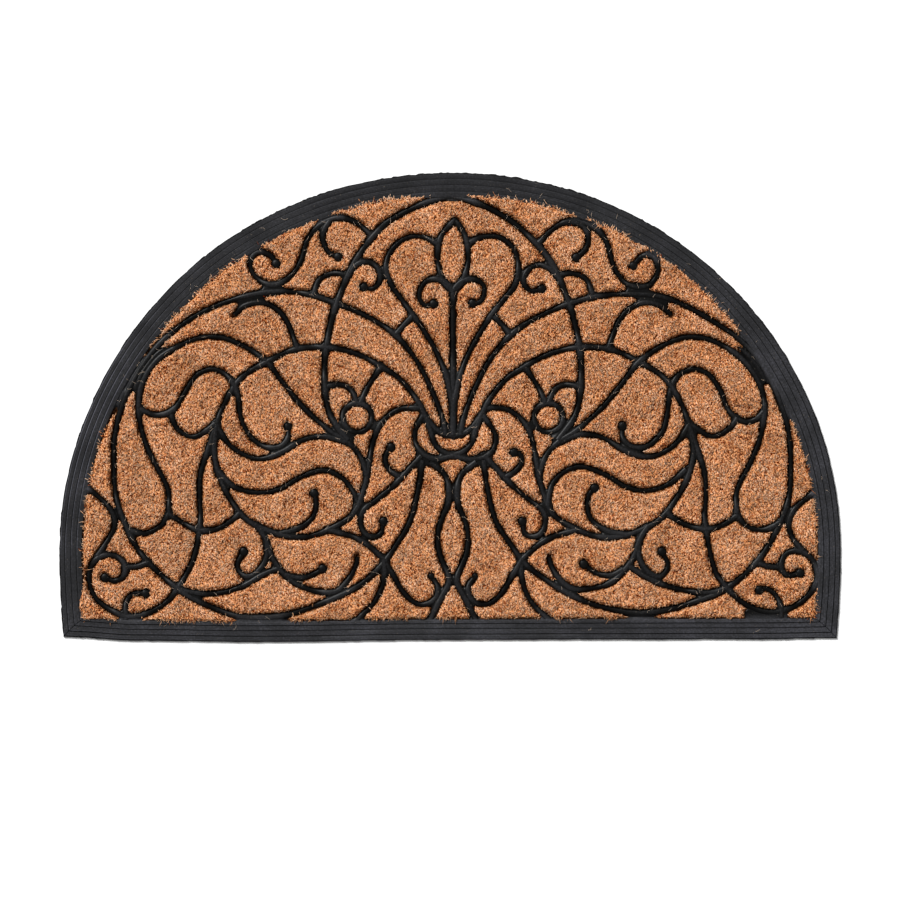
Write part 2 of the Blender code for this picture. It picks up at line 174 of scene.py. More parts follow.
# The scroll ribs of both halves: x from the pattern's middle line and y from the straight edge.
ribs = {
    "topArc": [(0, 424.5), (12, 423.3), (22, 420.8), (31, 417.6), (48, 409.5), (66, 398),
               (91, 367), (110, 325), (120, 285), (122, 250), (117, 217), (100, 192)],
    "crestScroll": [(77, 388), (93, 401), (110, 405), (127, 398), (139, 383), (145, 363),
                    (155, 349), (171, 340.5), (187, 348), (193, 362), (186, 372), (174, 369),
                    (168, 361)],
    "crestHook": [(117, 403), (124, 389), (119, 373), (109, 367.5)],
    "halfArch": [(133, 331), (127, 346), (113, 352), (100, 350)],
    "budScroll": [(100, 349), (92, 360), (81, 363), (71, 356), (70, 344), (77, 337), (85, 338.5)],
    "heart": [(15, 380.5), (29, 387), (45, 385.5), (59, 373.5), (64, 357), (58, 340),
              (46.5, 323.5), (29, 299), (15, 275), (6, 252), (3, 238), (1.2, 229), (0.5, 221)],
    "petal": [(-1.4, 404), (3.5, 398), (9, 391.5), (13, 384), (14.7, 371), (13.8, 359.5),
              (9, 343), (0, 334)],
    "fleurCurl": [(0, 335), (4, 340.5), (9, 344.5), (15, 346.4), (21, 346.3), (27, 343.3),
                  (31, 337), (32, 330), (30, 324.5), (25.5, 320.8), (18.5, 322.5)],
    "heartLink": [(39, 311), (55, 293)],
    "loopRise": [(7, 197), (10, 213), (19, 237), (34, 267), (55, 293), (81, 310), (110, 323)],
    "loopSide": [(110, 323), (138, 332), (171, 334.5), (214, 325), (254, 305.5), (287, 275),
                 (311, 234), (321, 200), (322.5, 170), (320, 136), (310, 108), (298, 85),
                 (277, 62), (262, 50)],
    "loopBase": [(262, 50), (249, 41), (214, 25.5), (190, 22), (160, 24), (130, 33.5), (90, 52),
                 (69, 71), (55, 90), (41, 114), (33, 145), (29, 173)],
    "innerLoop": [(0, 196), (13, 200), (25, 213), (34, 230), (49, 249), (69, 263), (93, 275),
                  (121, 281), (150, 279), (177, 267), (202, 251), (218, 226), (225, 207),
                  (234, 180), (240, 160), (241, 138), (240, 118), (241, 106)],
    "cornerScroll": [(241, 106), (242, 98), (247, 78), (255, 61), (270, 39), (288, 27), (308, 23),
                     (328, 30.5), (341.5, 43), (346, 60), (341, 76), (328, 82), (314, 76),
                     (312, 64), (321, 57), (331, 60)],
    "cornerHook": [(311, 20), (311, 35), (305, 44), (292, 45)],
    "cornerLink": [(312, 70), (300, 71), (289, 75)],
    "frameLink": [(355, 152), (340, 140), (326, 126), (321.5, 113), (326, 100), (338, 81)],
    "teardrop": [(82, 158), (88, 176), (100, 190), (116, 200), (142, 223), (164, 250), (177, 267),
                 (199, 282), (221, 290.5), (241, 290), (261, 282), (279, 271), (291, 256),
                 (298, 237), (298, 212), (292, 188), (281, 165), (271, 144), (270, 122)],
    "teardropFoot": [(270, 122), (278, 110), (293, 102.5), (309, 106)],
    "sideRidge": [(271, 282), (282, 273.8), (294.5, 257.8), (300.5, 245), (302.5, 239)],
    "sideLink": [(270, 121), (256, 112), (242, 105.5), (224, 107), (208, 117), (203, 122)],
    "wave": [(298, 222), (282, 216), (266, 221), (255, 238), (244, 254), (229, 260), (214, 253),
             (205, 237), (202, 214), (193, 196), (179, 185.5), (164, 186), (157, 194),
             (157, 205)],
    "lowerWave": [(269, 219), (263, 204), (249, 195), (236, 200), (226, 208)],
    "leafOne": [(225, 207), (213, 188), (197, 177), (182, 174), (163, 180.5), (143, 192),
                (122, 195.5), (102, 190)],
    "trunk": [(225, 207), (227, 182), (223, 160), (211, 134), (195, 115), (175, 105), (155, 99.5),
              (135, 100), (115, 108), (98, 118), (90, 129)],
    "leafTwo": [(224, 163), (209, 148), (187, 141.5), (165, 145), (146, 156), (123, 163),
                (105, 155), (94, 141), (90, 129)],
    "leafHook": [(167, 102), (148, 107), (134, 117), (130, 130), (132, 141)],
    "lowerLeafTop": [(118, 106), (93, 98.5), (78, 89), (66, 78)],
    "lowerLeaf": [(186, 110), (178, 97), (172, 80), (162, 65), (147, 53), (127, 46.5),
                  (111, 47), (99, 59), (92, 73), (91, 80)],
    "lowerLeafHook": [(160, 63), (144, 60), (131, 64), (124, 68.5)],
    "smallScroll": [(178, 97), (177, 82), (183, 69), (196, 61), (205, 71), (199, 85)],
    "lowerLink": [(166, 69), (181, 63), (196, 54), (212, 47.5), (231, 44.5), (251, 46.5),
                  (263, 50)],
    "column": [(22, 171), (9, 160), (4, 147), (5, 130), (11, 116), (14.2, 102), (13.5, 86),
               (9, 73), (4.8, 64), (3.4, 58), (5, 52), (9.5, 44), (15.5, 32.5), (23, 17)],
    "footScroll": [(66, 78), (57, 63), (47, 46), (34, 35), (20, 37), (14, 49), (21, 61.5)],
    "foot": [(66, 78), (65, 66), (68, 50), (76, 35), (88, 23), (98, 15)],
    "lily": [(30, 177), (43, 163), (58, 147), (73, 134.5), (85, 125), (88, 113), (82, 101),
             (70, 101), (66, 114)],
    "lilyHook": [(49, 156), (61, 164), (64.5, 176), (59, 185)],
    "shield": [(31, 223), (51, 221.5), (67, 210), (75, 194), (79, 174), (83, 152), (90, 129)],
    "cupBowl": [(26, 214), (22, 203), (17, 188), (8, 180), (0, 178)],
    "cupEar": [(28, 216), (35, 204), (36, 191), (29, 179), (16, 174), (0, 177)],
    "ringStrut": [(88, 228), (81, 243), (68, 263)],
    "ringArch": [(91, 228), (97, 240), (107, 245), (122, 243)],
    "shoulderHook": [(148, 280), (157, 304), (167, 317), (182, 324), (198, 321), (208, 312)],
}
# The right half's own courses, where they aren't the left half's mirrored.
rightRibs = {
    "topArc": [(0, 424.5), (10, 423), (26, 418), (40, 411.5), (62, 397), (91, 366), (110, 325),
               (120, 285), (122, 250), (117, 217), (100, 192)],
    "crestScroll": [(81.5, 381), (96, 395), (107, 401), (119, 402), (132, 397), (142, 389),
                    (147, 380), (150, 370), (153, 360), (158, 350), (165.5, 342), (176, 338.5),
                    (187, 341), (193.8, 349), (195.3, 358.5), (191.8, 366.5), (184, 369.5),
                    (177, 365.5), (171.8, 359)],
    "heart": [(16, 381.3), (25, 386), (35, 387.6), (43, 386.8), (51.5, 382.5), (58, 375),
              (61.5, 366), (62.3, 356.5), (61, 346.5), (57, 337.5), (49.5, 328.5), (34, 308.5),
              (15, 275), (6, 252), (3, 238), (1.2, 229), (0.5, 221)],
    "petal": [(1.4, 404), (5.2, 399), (9.1, 392.6), (12.7, 384.3), (14.5, 370), (13.7, 359.5),
              (8.3, 343), (0, 334)],
    "fleurCurl": [(0, 335), (4, 340.8), (9.6, 344.8), (15.3, 346.4), (22, 345.6), (27.5, 342.3),
                  (30, 336.8), (29.2, 330), (26, 324.5), (18.5, 323)],
    "crestHook": [(112, 400.5), (121, 399), (127, 393), (129, 384), (126, 375), (117.5, 367)],
    "budScroll": [(99, 349), (93, 356), (83, 360), (73.5, 357), (67.5, 348.5), (68.5, 340),
                  (75, 335), (84.5, 337)],
    "loopSide": [(110, 323), (138, 330), (171, 332), (200, 329), (225, 319), (250, 304.5),
                 (271.3, 290), (288.8, 272), (304, 246.5), (313, 224), (320, 200), (322, 170),
                 (320, 136), (311, 111), (299, 88), (278, 63), (262, 51)],
    "loopBase": [(262, 51), (249, 43.5), (232, 37.5), (212, 31), (190, 27), (172, 26.5),
                 (152, 29.5), (130, 35.5), (108, 46), (88, 58.5), (69, 73), (57, 89), (41, 114),
                 (33, 145), (29, 173)],
    "cornerScroll": [(241, 106), (243, 96), (246, 80.5), (251.5, 63.5), (260, 52), (270, 41),
                     (280, 34), (293, 28.5), (306, 27), (319, 30), (331, 36), (341, 46),
                     (346.5, 59), (345, 72), (339, 81), (328, 86), (318, 83), (312.5, 74),
                     (314, 66), (321, 62), (331, 64.5)],
    "cornerHook": [(313, 22), (312, 34), (307, 44), (299, 49.5), (292, 48)],
    "frameLink": [(356, 151), (337, 136), (325, 125), (320, 112), (323, 99.5), (333, 86)],
    "teardrop": [(82, 158), (88, 176), (100, 190), (116, 200), (142, 223), (164, 250), (177, 267),
                 (199, 282), (221, 290.5), (241, 289.3), (261, 280.5), (275.5, 269.5), (286.5, 256),
                 (294, 241), (297, 226.5), (296, 211), (291, 188), (281, 165), (271, 144),
                 (270, 122)],
    "sideRidge": [(271.5, 281.7), (281.5, 273.2), (292.3, 258.8), (297.8, 248.5)],
    "teardropFoot": [(270, 122), (276, 113), (284, 107.5), (293, 106), (302, 107.5), (311, 113)],
    "sideLink": [(271, 120), (257, 110.5), (241, 106.5), (224, 110), (209, 118), (204, 123)],
    "wave": [(296, 219), (288.5, 212), (280.5, 209.5), (272.5, 211.5), (265.5, 217), (260, 226),
             (256.5, 236), (251, 246), (243, 255.5), (230, 260), (215, 254), (207, 239),
             (204.5, 218), (201, 203), (195, 194), (187.5, 187.5), (178.5, 184.5), (169, 186.5),
             (162, 193.5), (161.5, 205.5)],
    "lowerWave": [(271, 213), (263, 203), (249, 195.5), (237, 200), (226, 208)],
    "leafOne": [(225, 207), (214, 190), (198, 179), (183, 176), (163, 182.5), (143, 194),
                (122, 197.5), (102, 190)],
    "trunk": [(225, 207), (229, 183), (225, 160), (213, 136), (197, 116), (176, 104.5), (155, 99),
              (135, 100), (115, 108), (98, 118), (90, 129)],
    "leafTwo": [(222, 164), (206, 150), (185.5, 143.5), (165, 147), (147, 158), (122, 166.5),
                (106, 161.5), (95.5, 151), (91.5, 140), (90, 129)],
    "leafHook": [(166, 101), (147, 105), (134, 113.5), (129, 122), (128.5, 133), (130, 140),
                 (135, 146)],
    "lowerLeaf": [(186, 110), (178, 97), (172, 80), (163, 67), (149, 54.5), (130, 49.5),
                  (114, 49.5), (102, 58), (94, 71), (91.5, 80)],
    "lowerLeafHook": [(162, 68), (151, 62.5), (139, 63.5), (131, 68), (124.5, 73)],
    "lowerLink": [(168, 71), (181, 62.5), (196, 55), (213, 49.5), (232, 46), (250, 46.5),
                  (262, 51)],
    "lilyHook": [(49, 156), (59, 162), (65.5, 171), (64, 178), (58, 180)],
    "cupEar": [(28, 216), (35.5, 206), (40.5, 197), (40.5, 189), (37, 181), (30, 175.5),
               (16, 173.5), (0, 177)],
}
middleStem = [(0, 338), (0, 265), (0, 197)]
ring = {"x": 91.0, "y": 213.5, "diameter": 28.0}
ballEnds = ("crestScroll", "crestHook", "budScroll", "fleurCurl", "cornerScroll", "cornerHook",
            "wave", "leafHook", "lowerLeafHook", "smallScroll", "lily", "lilyHook", "footScroll")
ballSizes = {"footScroll": 5.9}  # the diameter, where a rib ends without a knob
# Rounds of rubber between ribs that run close together: x, y and diameter.
webs = {
    "crest": (171, 337, 9), "crestHook": (122, 401, 9), "ringTrunk": (98, 195, 9),
    "ringShield": (75, 206, 8),
}
rightWebs = {
    "crest": (176, 335, 10), "corner": (350, 65, 8),
    "baseOne": (281, 25.5, 7), "baseTwo": (288, 24.5, 8), "baseThree": (295, 23.5, 8),
    "baseFour": (302, 23, 8), "baseFive": (309, 23, 8), "baseSix": (315, 24, 7),
}
# Where the rubber fills wider or narrower gaps than elsewhere: x, y, how far round, and by how much.
fullPlaces = [(195, 325, 12, 12.0), (173, 337, 10, 7.0), (24, 425, 9, -3.0), (27, 176, 12, 6.0),
              (345, 62, 14, -3.4), (185, 20, 30, 2.5), (221, 190, 12, 3.0), (90, 129, 10, 3.0),
              (286, 281, 13, -3.4), (2, 426, 8, 3.0), (319, 232, 8, 10.0)]
pattern = {"middleX": 2.9, "left": -1.0086, "right": 1.006}  # it sits a little to the right


def placed(points, side):
    # points of one half of the scrollwork, in their place in the border
    p = np.array(points, float)
    return np.column_stack([pattern["middleX"] + pattern[side] * p[:, 0], p[:, 1]])


def smoothCourse(knots, spacing, stretches=24):
    # a smooth line through the knots, as evenly spaced points
    p = np.vstack([2 * knots[0] - knots[1], knots, 2 * knots[-1] - knots[-2]])
    t = np.linspace(0, 1, stretches, endpoint=False)[:, None]
    parts = []
    for before, start, end, after in zip(p, p[1:], p[2:], p[3:]):
        span = np.linalg.norm(end - start)
        leadIn = (end - before) / np.linalg.norm(end - before) * span
        leadOut = (after - start) / np.linalg.norm(after - start) * span
        parts.append(start * (2 * t**3 - 3 * t**2 + 1) + leadIn * (t**3 - 2 * t**2 + t)
                     + end * (3 * t**2 - 2 * t**3) + leadOut * (t**3 - t**2))
    line = np.vstack(parts + [knots[-1:]])
    along = np.concatenate([[0], np.cumsum(np.linalg.norm(np.diff(line, axis=0), axis=1))])
    at = np.linspace(0, along[-1], max(3, round(along[-1] / spacing) + 1))
    return np.column_stack([np.interp(at, along, line[:, 0]), np.interp(at, along, line[:, 1])])


def ribTable(side):
    return ribs | rightRibs if side == "right" else ribs


def webRounds():
    # the place and diameter of each round of rubber, in both halves
    tables = {"left": webs, "right": webs | rightWebs}
    return [(*placed([(x, y)], side)[0], diameter) for side in halves
            for x, y, diameter in tables[side].values()]


def ballPlaces():
    # the place and diameter of the ball at each small scroll's end, in both halves
    return [(*placed(ribTable(side)[name][-1:], side)[0], ballSizes.get(name, ball["diameter"]))
            for side in halves for name in ballEnds]


def everyRib(spacing):
    # the course of each rib: its name, its points and whether it closes on itself
    found = [("middleStem", smoothCourse(placed(middleStem, "right"), spacing), False)]
    for side in halves:
        for name, points in ribTable(side).items():
            line = smoothCourse(placed(points, side), spacing)
            line = line[insideOutline(line[:, 0], line[:, 1], plan["ribEnd"])]
            found.append((name, line, False))
        centre = placed([(ring["x"], ring["y"])], side)[0]
        turns = round(math.pi * ring["diameter"] / spacing)
        a = 2 * math.pi * np.arange(turns) / turns
        circle = centre + np.column_stack([np.cos(a), np.sin(a)]) * ring["diameter"] / 2
        found.append(("ring", circle, True))
    return found


def worldPoint(x, y, z):
    return Vector((x, y - plan["depthCentre"], z)) * mm


def worldPoints(x, y, z):
    return np.column_stack([x, y - plan["depthCentre"], z]) * mm


def between(grid, u, v, soft=False):
    # the grid's values at columns u and rows v, between their four nearest corners
    i = u.astype(int)
    j = v.astype(int)
    u = u - i
    v = v - j
    if soft:
        u = u * u * (3 - 2 * u)
        v = v * v * (3 - 2 * v)
    low = grid[j, i] * (1 - u) + grid[j, i + 1] * u
    high = grid[j + 1, i] * (1 - u) + grid[j + 1, i + 1] * u
    return low * (1 - v) + high * v


noiseField = {"width": 860, "depth": 560, "left": 420, "below": 30}  # it reaches past the mat


def softNoise(x, y, size, seed):
    # smooth random values from -1 to 1, with lumps about this many millimetres across
    counts = (int(noiseField["depth"] / size) + 4, int(noiseField["width"] / size) + 4)
    grid = np.random.default_rng(seed).uniform(-1, 1, counts)
    u = (x + noiseField["left"]) / size
    v = (y + noiseField["below"]) / size
    return between(grid, u, v, soft=True)


# What several pieces are made with.
def linkPiece(name, data):
    # a new object of its own, the only one selected
    piece = bpy.data.objects.new(name, data)
    bpy.context.scene.collection.objects.link(piece)
    bpy.ops.object.select_all(action="DESELECT")
    bpy.context.view_layer.objects.active = piece
    piece.select_set(True)
    return piece


def meshFromArrays(name, points, faces):
    mesh = bpy.data.meshes.new(name)
    mesh.vertices.add(len(points))
    mesh.vertices.foreach_set("co", points.astype(np.float32).ravel())
    mesh.loops.add(faces.size)
    mesh.loops.foreach_set("vertex_index", faces.astype(np.int32).ravel())
    mesh.polygons.add(len(faces))
    starts = np.arange(0, faces.size, faces.shape[1], dtype=np.int32)
    mesh.polygons.foreach_set("loop_start", starts)
    mesh.update(calc_edges=True)
    return linkPiece(name, mesh)


def pointsOf(piece):
    # the mesh's points as an array, in metres
    spots = np.empty(len(piece.data.vertices) * 3)
    piece.data.vertices.foreach_get("co", spots)
    return spots.reshape(-1, 3)


def writeAttribute(piece, name, values):
    # a number for each of the piece's points, which its material reads
    attribute = piece.data.attributes.new(name, "FLOAT", "POINT")
    attribute.data.foreach_set("value", np.asarray(values, np.float32))


def leaveEditMode():
    # turns all faces outwards first
    bpy.ops.mesh.select_all(action="SELECT")
    bpy.ops.mesh.normals_make_consistent(inside=False)
    bpy.ops.object.mode_set(mode="OBJECT")


def addSpline(curve, count, closed):
    spline = curve.splines.new("POLY")
    spline.points.add(count - 1)
    spline.use_cyclic_u = closed
    return spline


def meshFromCurve(name, curve):
    piece = linkPiece(name, curve)
    bpy.ops.object.convert(target="MESH")
    bpy.ops.object.mode_set(mode="EDIT")
    bpy.ops.mesh.select_all(action="SELECT")
    bpy.ops.mesh.remove_doubles(threshold=0.01 * mm)  # welds the loose caps
    leaveEditMode()
    return piece


# Colour helpers and the one function that adds a node.
def colour(hexCode):
    # an sRGB hex value as linear light
    parts = [int(hexCode[i : i + 2], 16) / 255 for i in (1, 3, 5)]
    return (*(c / 12.92 if c <= 0.04045 else ((c + 0.055) / 1.055) ** 2.4 for c in parts), 1.0)


def setSockets(tree, node, inputs=None, links=None):
    for name, value in (inputs or {}).items():
        node.inputs[name].default_value = value
    for name, source in (links or {}).items():
        tree.links.new(source, node.inputs[name])


def addNode(tree, kind, settings=None, inputs=None, links=None):
    node = tree.nodes.new(kind)
    for name, value in (settings or {}).items():
        setattr(node, name, value)
    setSockets(tree, node, inputs, links)
    return node


def newMaterial(name):
    material = bpy.data.materials.new(name)
    material.use_nodes = True
    return material, material.node_tree, material.node_tree.nodes["Principled BSDF"]


def setRamp(node, stops):
    ramp = node.color_ramp
    while len(ramp.elements) < len(stops):
        ramp.elements.new(0.5)
    for element, (place, shade) in zip(ramp.elements, stops):
        element.position = place
        element.color = shade


def perMetre(size):
    # a noise scale whose lumps are about this many millimetres apart
    return 1 / (size * mm)


def mouldedRubber():
    # Recycled rubber pressed in a mould: a matt, slightly grey black with a fine grain and dust.
    material, tree, shader = newMaterial("moulded_recycled_rubber")
    place = addNode(tree, "ShaderNodeTexCoord").outputs["Object"]
    scuffAndPaintedLight = addNode(tree, "ShaderNodeAttribute", {"attribute_name": "scuffAndPaintedLight"}).outputs["Fac"]
    across = addNode(tree, "ShaderNodeAttribute", {"attribute_name": "across"}).outputs["Fac"]
    cloud, crumb, dust, grain = [
        addNode(tree, "ShaderNodeTexNoise", inputs={"Scale": perMetre(size), "Detail": detail},
                links={"Vector": place}).outputs["Fac"]
        for size, detail in ((30, 3), (1.5, 2), (1.6, 1), (0.9, 3))]
    # fine lines drawn along the bands, 26 of them across the border's width
    drawn = addNode(tree, "ShaderNodeTexNoise", {"noise_dimensions": "1D"},
                    {"Scale": 26.0, "Detail": 3, "Roughness": 0.7}, {"W": across}).outputs["Fac"]

    # this mixes wear with painted light: black painted shade where rubber lies deep in the pile, grey
    # painted highlight on raised rubber and on the border's step edges
    scuffedAndLit = scuffAndPaintedLight
    for noise, share in ((cloud, 0.25), (crumb, 0.45), (drawn, 0.3)):
        offset = addNode(tree, "ShaderNodeMath", {"operation": "SUBTRACT"}, {1: 0.5}, {0: noise})
        scuffedAndLit = addNode(tree, "ShaderNodeMath", {"operation": "MULTIPLY_ADD"}, {1: share},
                       {0: offset.outputs["Value"], 2: scuffedAndLit}).outputs["Value"]
    # the ramp runs from the black of painted shade to a pale bluish grey, a painted highlight
    shade = addNode(tree, "ShaderNodeValToRGB", links={"Fac": scuffedAndLit})
    setRamp(shade, [(0.0, colour("#020202")), (0.3, colour("#0e0e0e")), (0.6, colour("#29292b")),
                    (1.0, colour("#55555d"))])
    speck = addNode(tree, "ShaderNodeValToRGB", links={"Fac": dust})
    setRamp(speck, [(0.72, (0, 0, 0, 1)), (0.8, (0.6, 0.6, 0.6, 1))])
    dusty = addNode(tree, "ShaderNodeMix", {"data_type": "RGBA"}, {"B": colour("#6d6459")},
                    {"Factor": speck.outputs["Color"], "A": shade.outputs["Color"]})

    lines = addNode(tree, "ShaderNodeBump", inputs={"Strength": 0.35, "Distance": 0.3 * mm},
                    links={"Height": drawn})
    bump = addNode(tree, "ShaderNodeBump", inputs={"Strength": 0.4, "Distance": 0.12 * mm},
                   links={"Height": grain, "Normal": lines.outputs["Normal"]})
    rough = addNode(tree, "ShaderNodeMapRange", links={"Value": cloud},
                    inputs={"From Min": 0.3, "From Max": 0.7, "To Min": 0.33, "To Max": 0.43})
    setSockets(tree, shader, {"IOR": 1.52, "Specular IOR Level": 0.11},
               {"Base Color": dusty.outputs["Result"], "Roughness": rough.outputs["Result"],
                "Normal": bump.outputs["Normal"]})
    return material


def coirFibre():
    # Coconut husk fibre, combed and cut: dry and matt, each fibre its own shade of straw or brown.
    material, tree, shader = newMaterial("cut_coir_fibre")
    place = addNode(tree, "ShaderNodeTexCoord").outputs["Object"]
    tone = addNode(tree, "ShaderNodeAttribute", {"attribute_name": "tone"}).outputs["Fac"]
    patch, strands = [
        addNode(tree, "ShaderNodeTexNoise", inputs={"Scale": perMetre(size), "Detail": 2},
                links={"Vector": place}).outputs["Fac"] for size in (28, 0.8)]
    shade = addNode(tree, "ShaderNodeValToRGB", links={"Fac": tone})
    setRamp(shade, [(0.0, colour("#260600")), (0.2, colour("#86310a")), (0.42, colour("#db9964")),
                    (0.75, colour("#e3b591")), (0.92, colour("#e5c7ab")), (1.0, colour("#f0e0ce"))])
    level = addNode(tree, "ShaderNodeMapRange", links={"Value": patch},
                    inputs={"From Min": 0.3, "From Max": 0.7, "To Min": 0.84, "To Max": 1.15})
    mixed = addNode(tree, "ShaderNodeMix", {"data_type": "RGBA", "blend_type": "MULTIPLY"},
                    {"Factor": 1.0}, {"A": shade.outputs["Color"], "B": level.outputs["Result"]})
    bump = addNode(tree, "ShaderNodeBump", inputs={"Strength": 0.5, "Distance": 0.2 * mm},
                   links={"Height": strands})
    setSockets(tree, shader, {"Roughness": 0.85, "Specular IOR Level": 0.02},
               {"Base Color": mixed.outputs["Result"], "Normal": bump.outputs["Normal"]})
    return material


def coirBedding():
    # The cut ends of the pile, packed close: the same straw and brown, with dark pits between them as
    # painted shade.
    material, tree, shader = newMaterial("cut_coir_ends")
    place = addNode(tree, "ShaderNodeTexCoord").outputs["Object"]
    tone = addNode(tree, "ShaderNodeAttribute", {"attribute_name": "tone"}).outputs["Fac"]
    ends = addNode(tree, "ShaderNodeTexNoise", inputs={"Scale": perMetre(1.3), "Detail": 2},
                   links={"Vector": place}).outputs["Fac"]
    # the darkest stops are painted shade in the pits between the ends
    shade = addNode(tree, "ShaderNodeValToRGB", links={"Fac": ends})
    setRamp(shade, [(0.38, colour("#230500")), (0.45, colour("#7e2d08")), (0.53, colour("#d08a52")),
                    (0.68, colour("#e0ac80"))])
    # the tone brings in the painted shade beside the rubber
    mixed = addNode(tree, "ShaderNodeMix", {"data_type": "RGBA", "blend_type": "MULTIPLY"},
                    {"Factor": 1.0}, {"A": shade.outputs["Color"], "B": tone})
    bump = addNode(tree, "ShaderNodeBump", inputs={"Strength": 0.7, "Distance": 0.6 * mm},
                   links={"Height": ends})
    setSockets(tree, shader, {"Roughness": 0.9, "Specular IOR Level": 0.0},
               {"Base Color": mixed.outputs["Result"], "Normal": bump.outputs["Normal"]})
    return material


rubberMaterial = mouldedRubber()
coirMaterial = coirFibre()
beddingMaterial = coirBedding()
print("materials made")


def finishPiece(piece, material, node):
    piece.data.materials.clear()
    piece.data.materials.append(material)
    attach(piece, "root")
    if node:
        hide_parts(node)


# The back sheet and the stepped border, in one with the ribs. The steps are shares of the border's
# width from the outer edge, and the heights are those of the bands between them.
border = {
    "arcSteps": 540,  # points round the arch, down each side and along the base
    "sideSteps": 36,
    "baseSteps": 300,
    "steps": (0.05, 0.255, 0.51, 0.765),
    "heights": (2.4, 3.2, 4.3, 5.4, 6.6),
    "lapUnderside": 4.1,  # the panel's edge goes in below it
    "panelGap": 0.3,
    "grooveDepth": 0.5,
    "straightGroove": 0.2,  # share of that depth in the middle of the base and at the arch's top
    "mitreDepth": 0.8,
    "trimDepth": 0.22,  # the knife strays by up to this, in runs of so many points, with nicks between
    "trimRun": (1, 6),
    "nicks": (0, 0, 0.3, -0.3),
    "trimReach": 0.04,  # only this share of the border was trimmed
    "tornDepth": 0.9,
    "tornTeeth": (0, 0.2, 0.6, 1),
    "tornSize": (0.2, 0.9),
    # from where to where, as shares of the arch from its right foot
    "tornPlaces": ((0.38, 0.56), (0.17, 0.24), (0.30, 0.34), (0.60, 0.68), (0.77, 0.78), (0.86, 0.87)),
}
# How grey the rubber is drawn, with painted highlight on its step edges, palest where the arch rises
# on the left.
rubberWearAndLight = {
    "bands": 0.55,
    "rightSide": 0.07,
    "base": 0.06,
    "edges": 0.54,
    "edgesElsewhere": 0.08,  # as a share of that
    "highlightPlace": (-345, 215),
    "highlightSpread": 120,
    "patch": 25.0,  # how large the patches of painted edge highlight are, and how pale on the whole and how unevenly
    "patchLevel": 0.6,
    "patchDepth": 0.5,
    "straightGroove": 0.35,  # how dark the painted shade in its grooves is in the middle, as a share of the sides'
}
# Rows of the profile: share of the width past the step, height over the band, how far the row lies
# in the step's groove, and its painted highlight (above 0) or painted shade (below 0).
rowsBelowStep = [(-0.028, 0, 0, 0), (-0.02, 0, 1, -0.6), (0, 0, 1, -0.6)]
rowsAboveStep = [(0.004, -0.35, 0, 0), (0.012, 0, 0, 1), (0.036, 0.02, 0, 1), (0.05, 0.02, 0, 0)]
rowsAtLap = [(0.95, 0.05), (0.985, -0.25), (1.0, -1.0)]  # share of the width, and height


def borderProfile():
    # rows of share, height, how far the row lies in a groove, and its painted highlight or shade
    heights = border["heights"]
    rows = [(0.0, 0.0, 0, 0), (0.0, heights[0] - 0.4, 0, -1), (0.008, heights[0], 0, -1)]
    for step, here, above in zip(border["steps"], heights, heights[1:]):
        for table, level in ((rowsBelowStep, here), (rowsAboveStep, above)):
            rows += [(step + past, level + over, dip, edge) for past, over, dip, edge in table]
    rows += [(share, heights[-1] + over, 0, 0) for share, over in rowsAtLap]
    return rows + [(1.0, border["lapUnderside"], 0, 0), (plan["lap"], border["lapUnderside"], 0, 0),
                   (plan["lap"], coirLow.z / mm - border["panelGap"], 0, 0)]


def trimmedEdge(count, rng):
    # how far the knife strayed at each station of the outer edge, with torn flash near the top
    at = 0
    stray = np.zeros(count)
    here = 0.0
    while at < count:
        run = rng.randint(*border["trimRun"])
        there = rng.uniform(-1, 1) * border["trimDepth"]
        part = min(run, count - at)
        stray[at : at + part] = here + (there - here) * np.arange(part) / run
        here = there + rng.choice(border["nicks"])
        at += run
    for first, last in border["tornPlaces"]:
        for i in range(int(first * border["arcSteps"]), int(last * border["arcSteps"])):
            tooth = rng.choice(border["tornTeeth"]) * border["tornDepth"]
            stray[i] += tooth * rng.uniform(*border["tornSize"])
    return stray


def newRingOf(obj, points):
    # moves the newly made, selected ring to its points, by the station that each vertex keeps
    bm = bmesh.from_edit_mesh(obj.data)
    station = bm.verts.layers.int["station"]
    for v in bm.verts:
        if v.select:
            v.co = points[v[station]]
    bmesh.update_edit_mesh(obj.data, destructive=False)


def borderRings(rim, profile, steps):
    # the points of each row of the profile, all round the mat
    stray = trimmedEdge(len(rim), random.Random(11))
    ahead = np.roll(rim, -1, axis=0) - np.roll(rim, 1, axis=0)
    ahead /= np.linalg.norm(ahead, axis=1)[:, None]
    outward = np.column_stack([ahead[:, 1], -ahead[:, 0]])
    # grooves are deepest at the sides, and a mitre line crosses the upper bands at each corner
    x, y = rim.T
    least = border["straightGroove"]
    depth = border["grooveDepth"] * (least + (1 - least) * (np.abs(x) / plan["halfWidth"]) ** 2)
    feet = np.abs(np.abs(x) - plan["halfWidth"] + plan["sideTaper"]) < 0.01
    mitred = np.where(feet & (y < 10), border["mitreDepth"], 0.0)
    rings = []
    for share, z, dip, edge in profile:
        hold = max(0.0, 1 - share / border["trimReach"])
        ringPlan = outline(share, *steps) + outward * (stray * hold)[:, None]
        zs = z - dip * depth - (mitred if 0.02 < share < 1 and z > 3 else 0.0)
        rings.append([worldPoint(*spot, high) for spot, high in zip(ringPlan, zs)])
    return rings


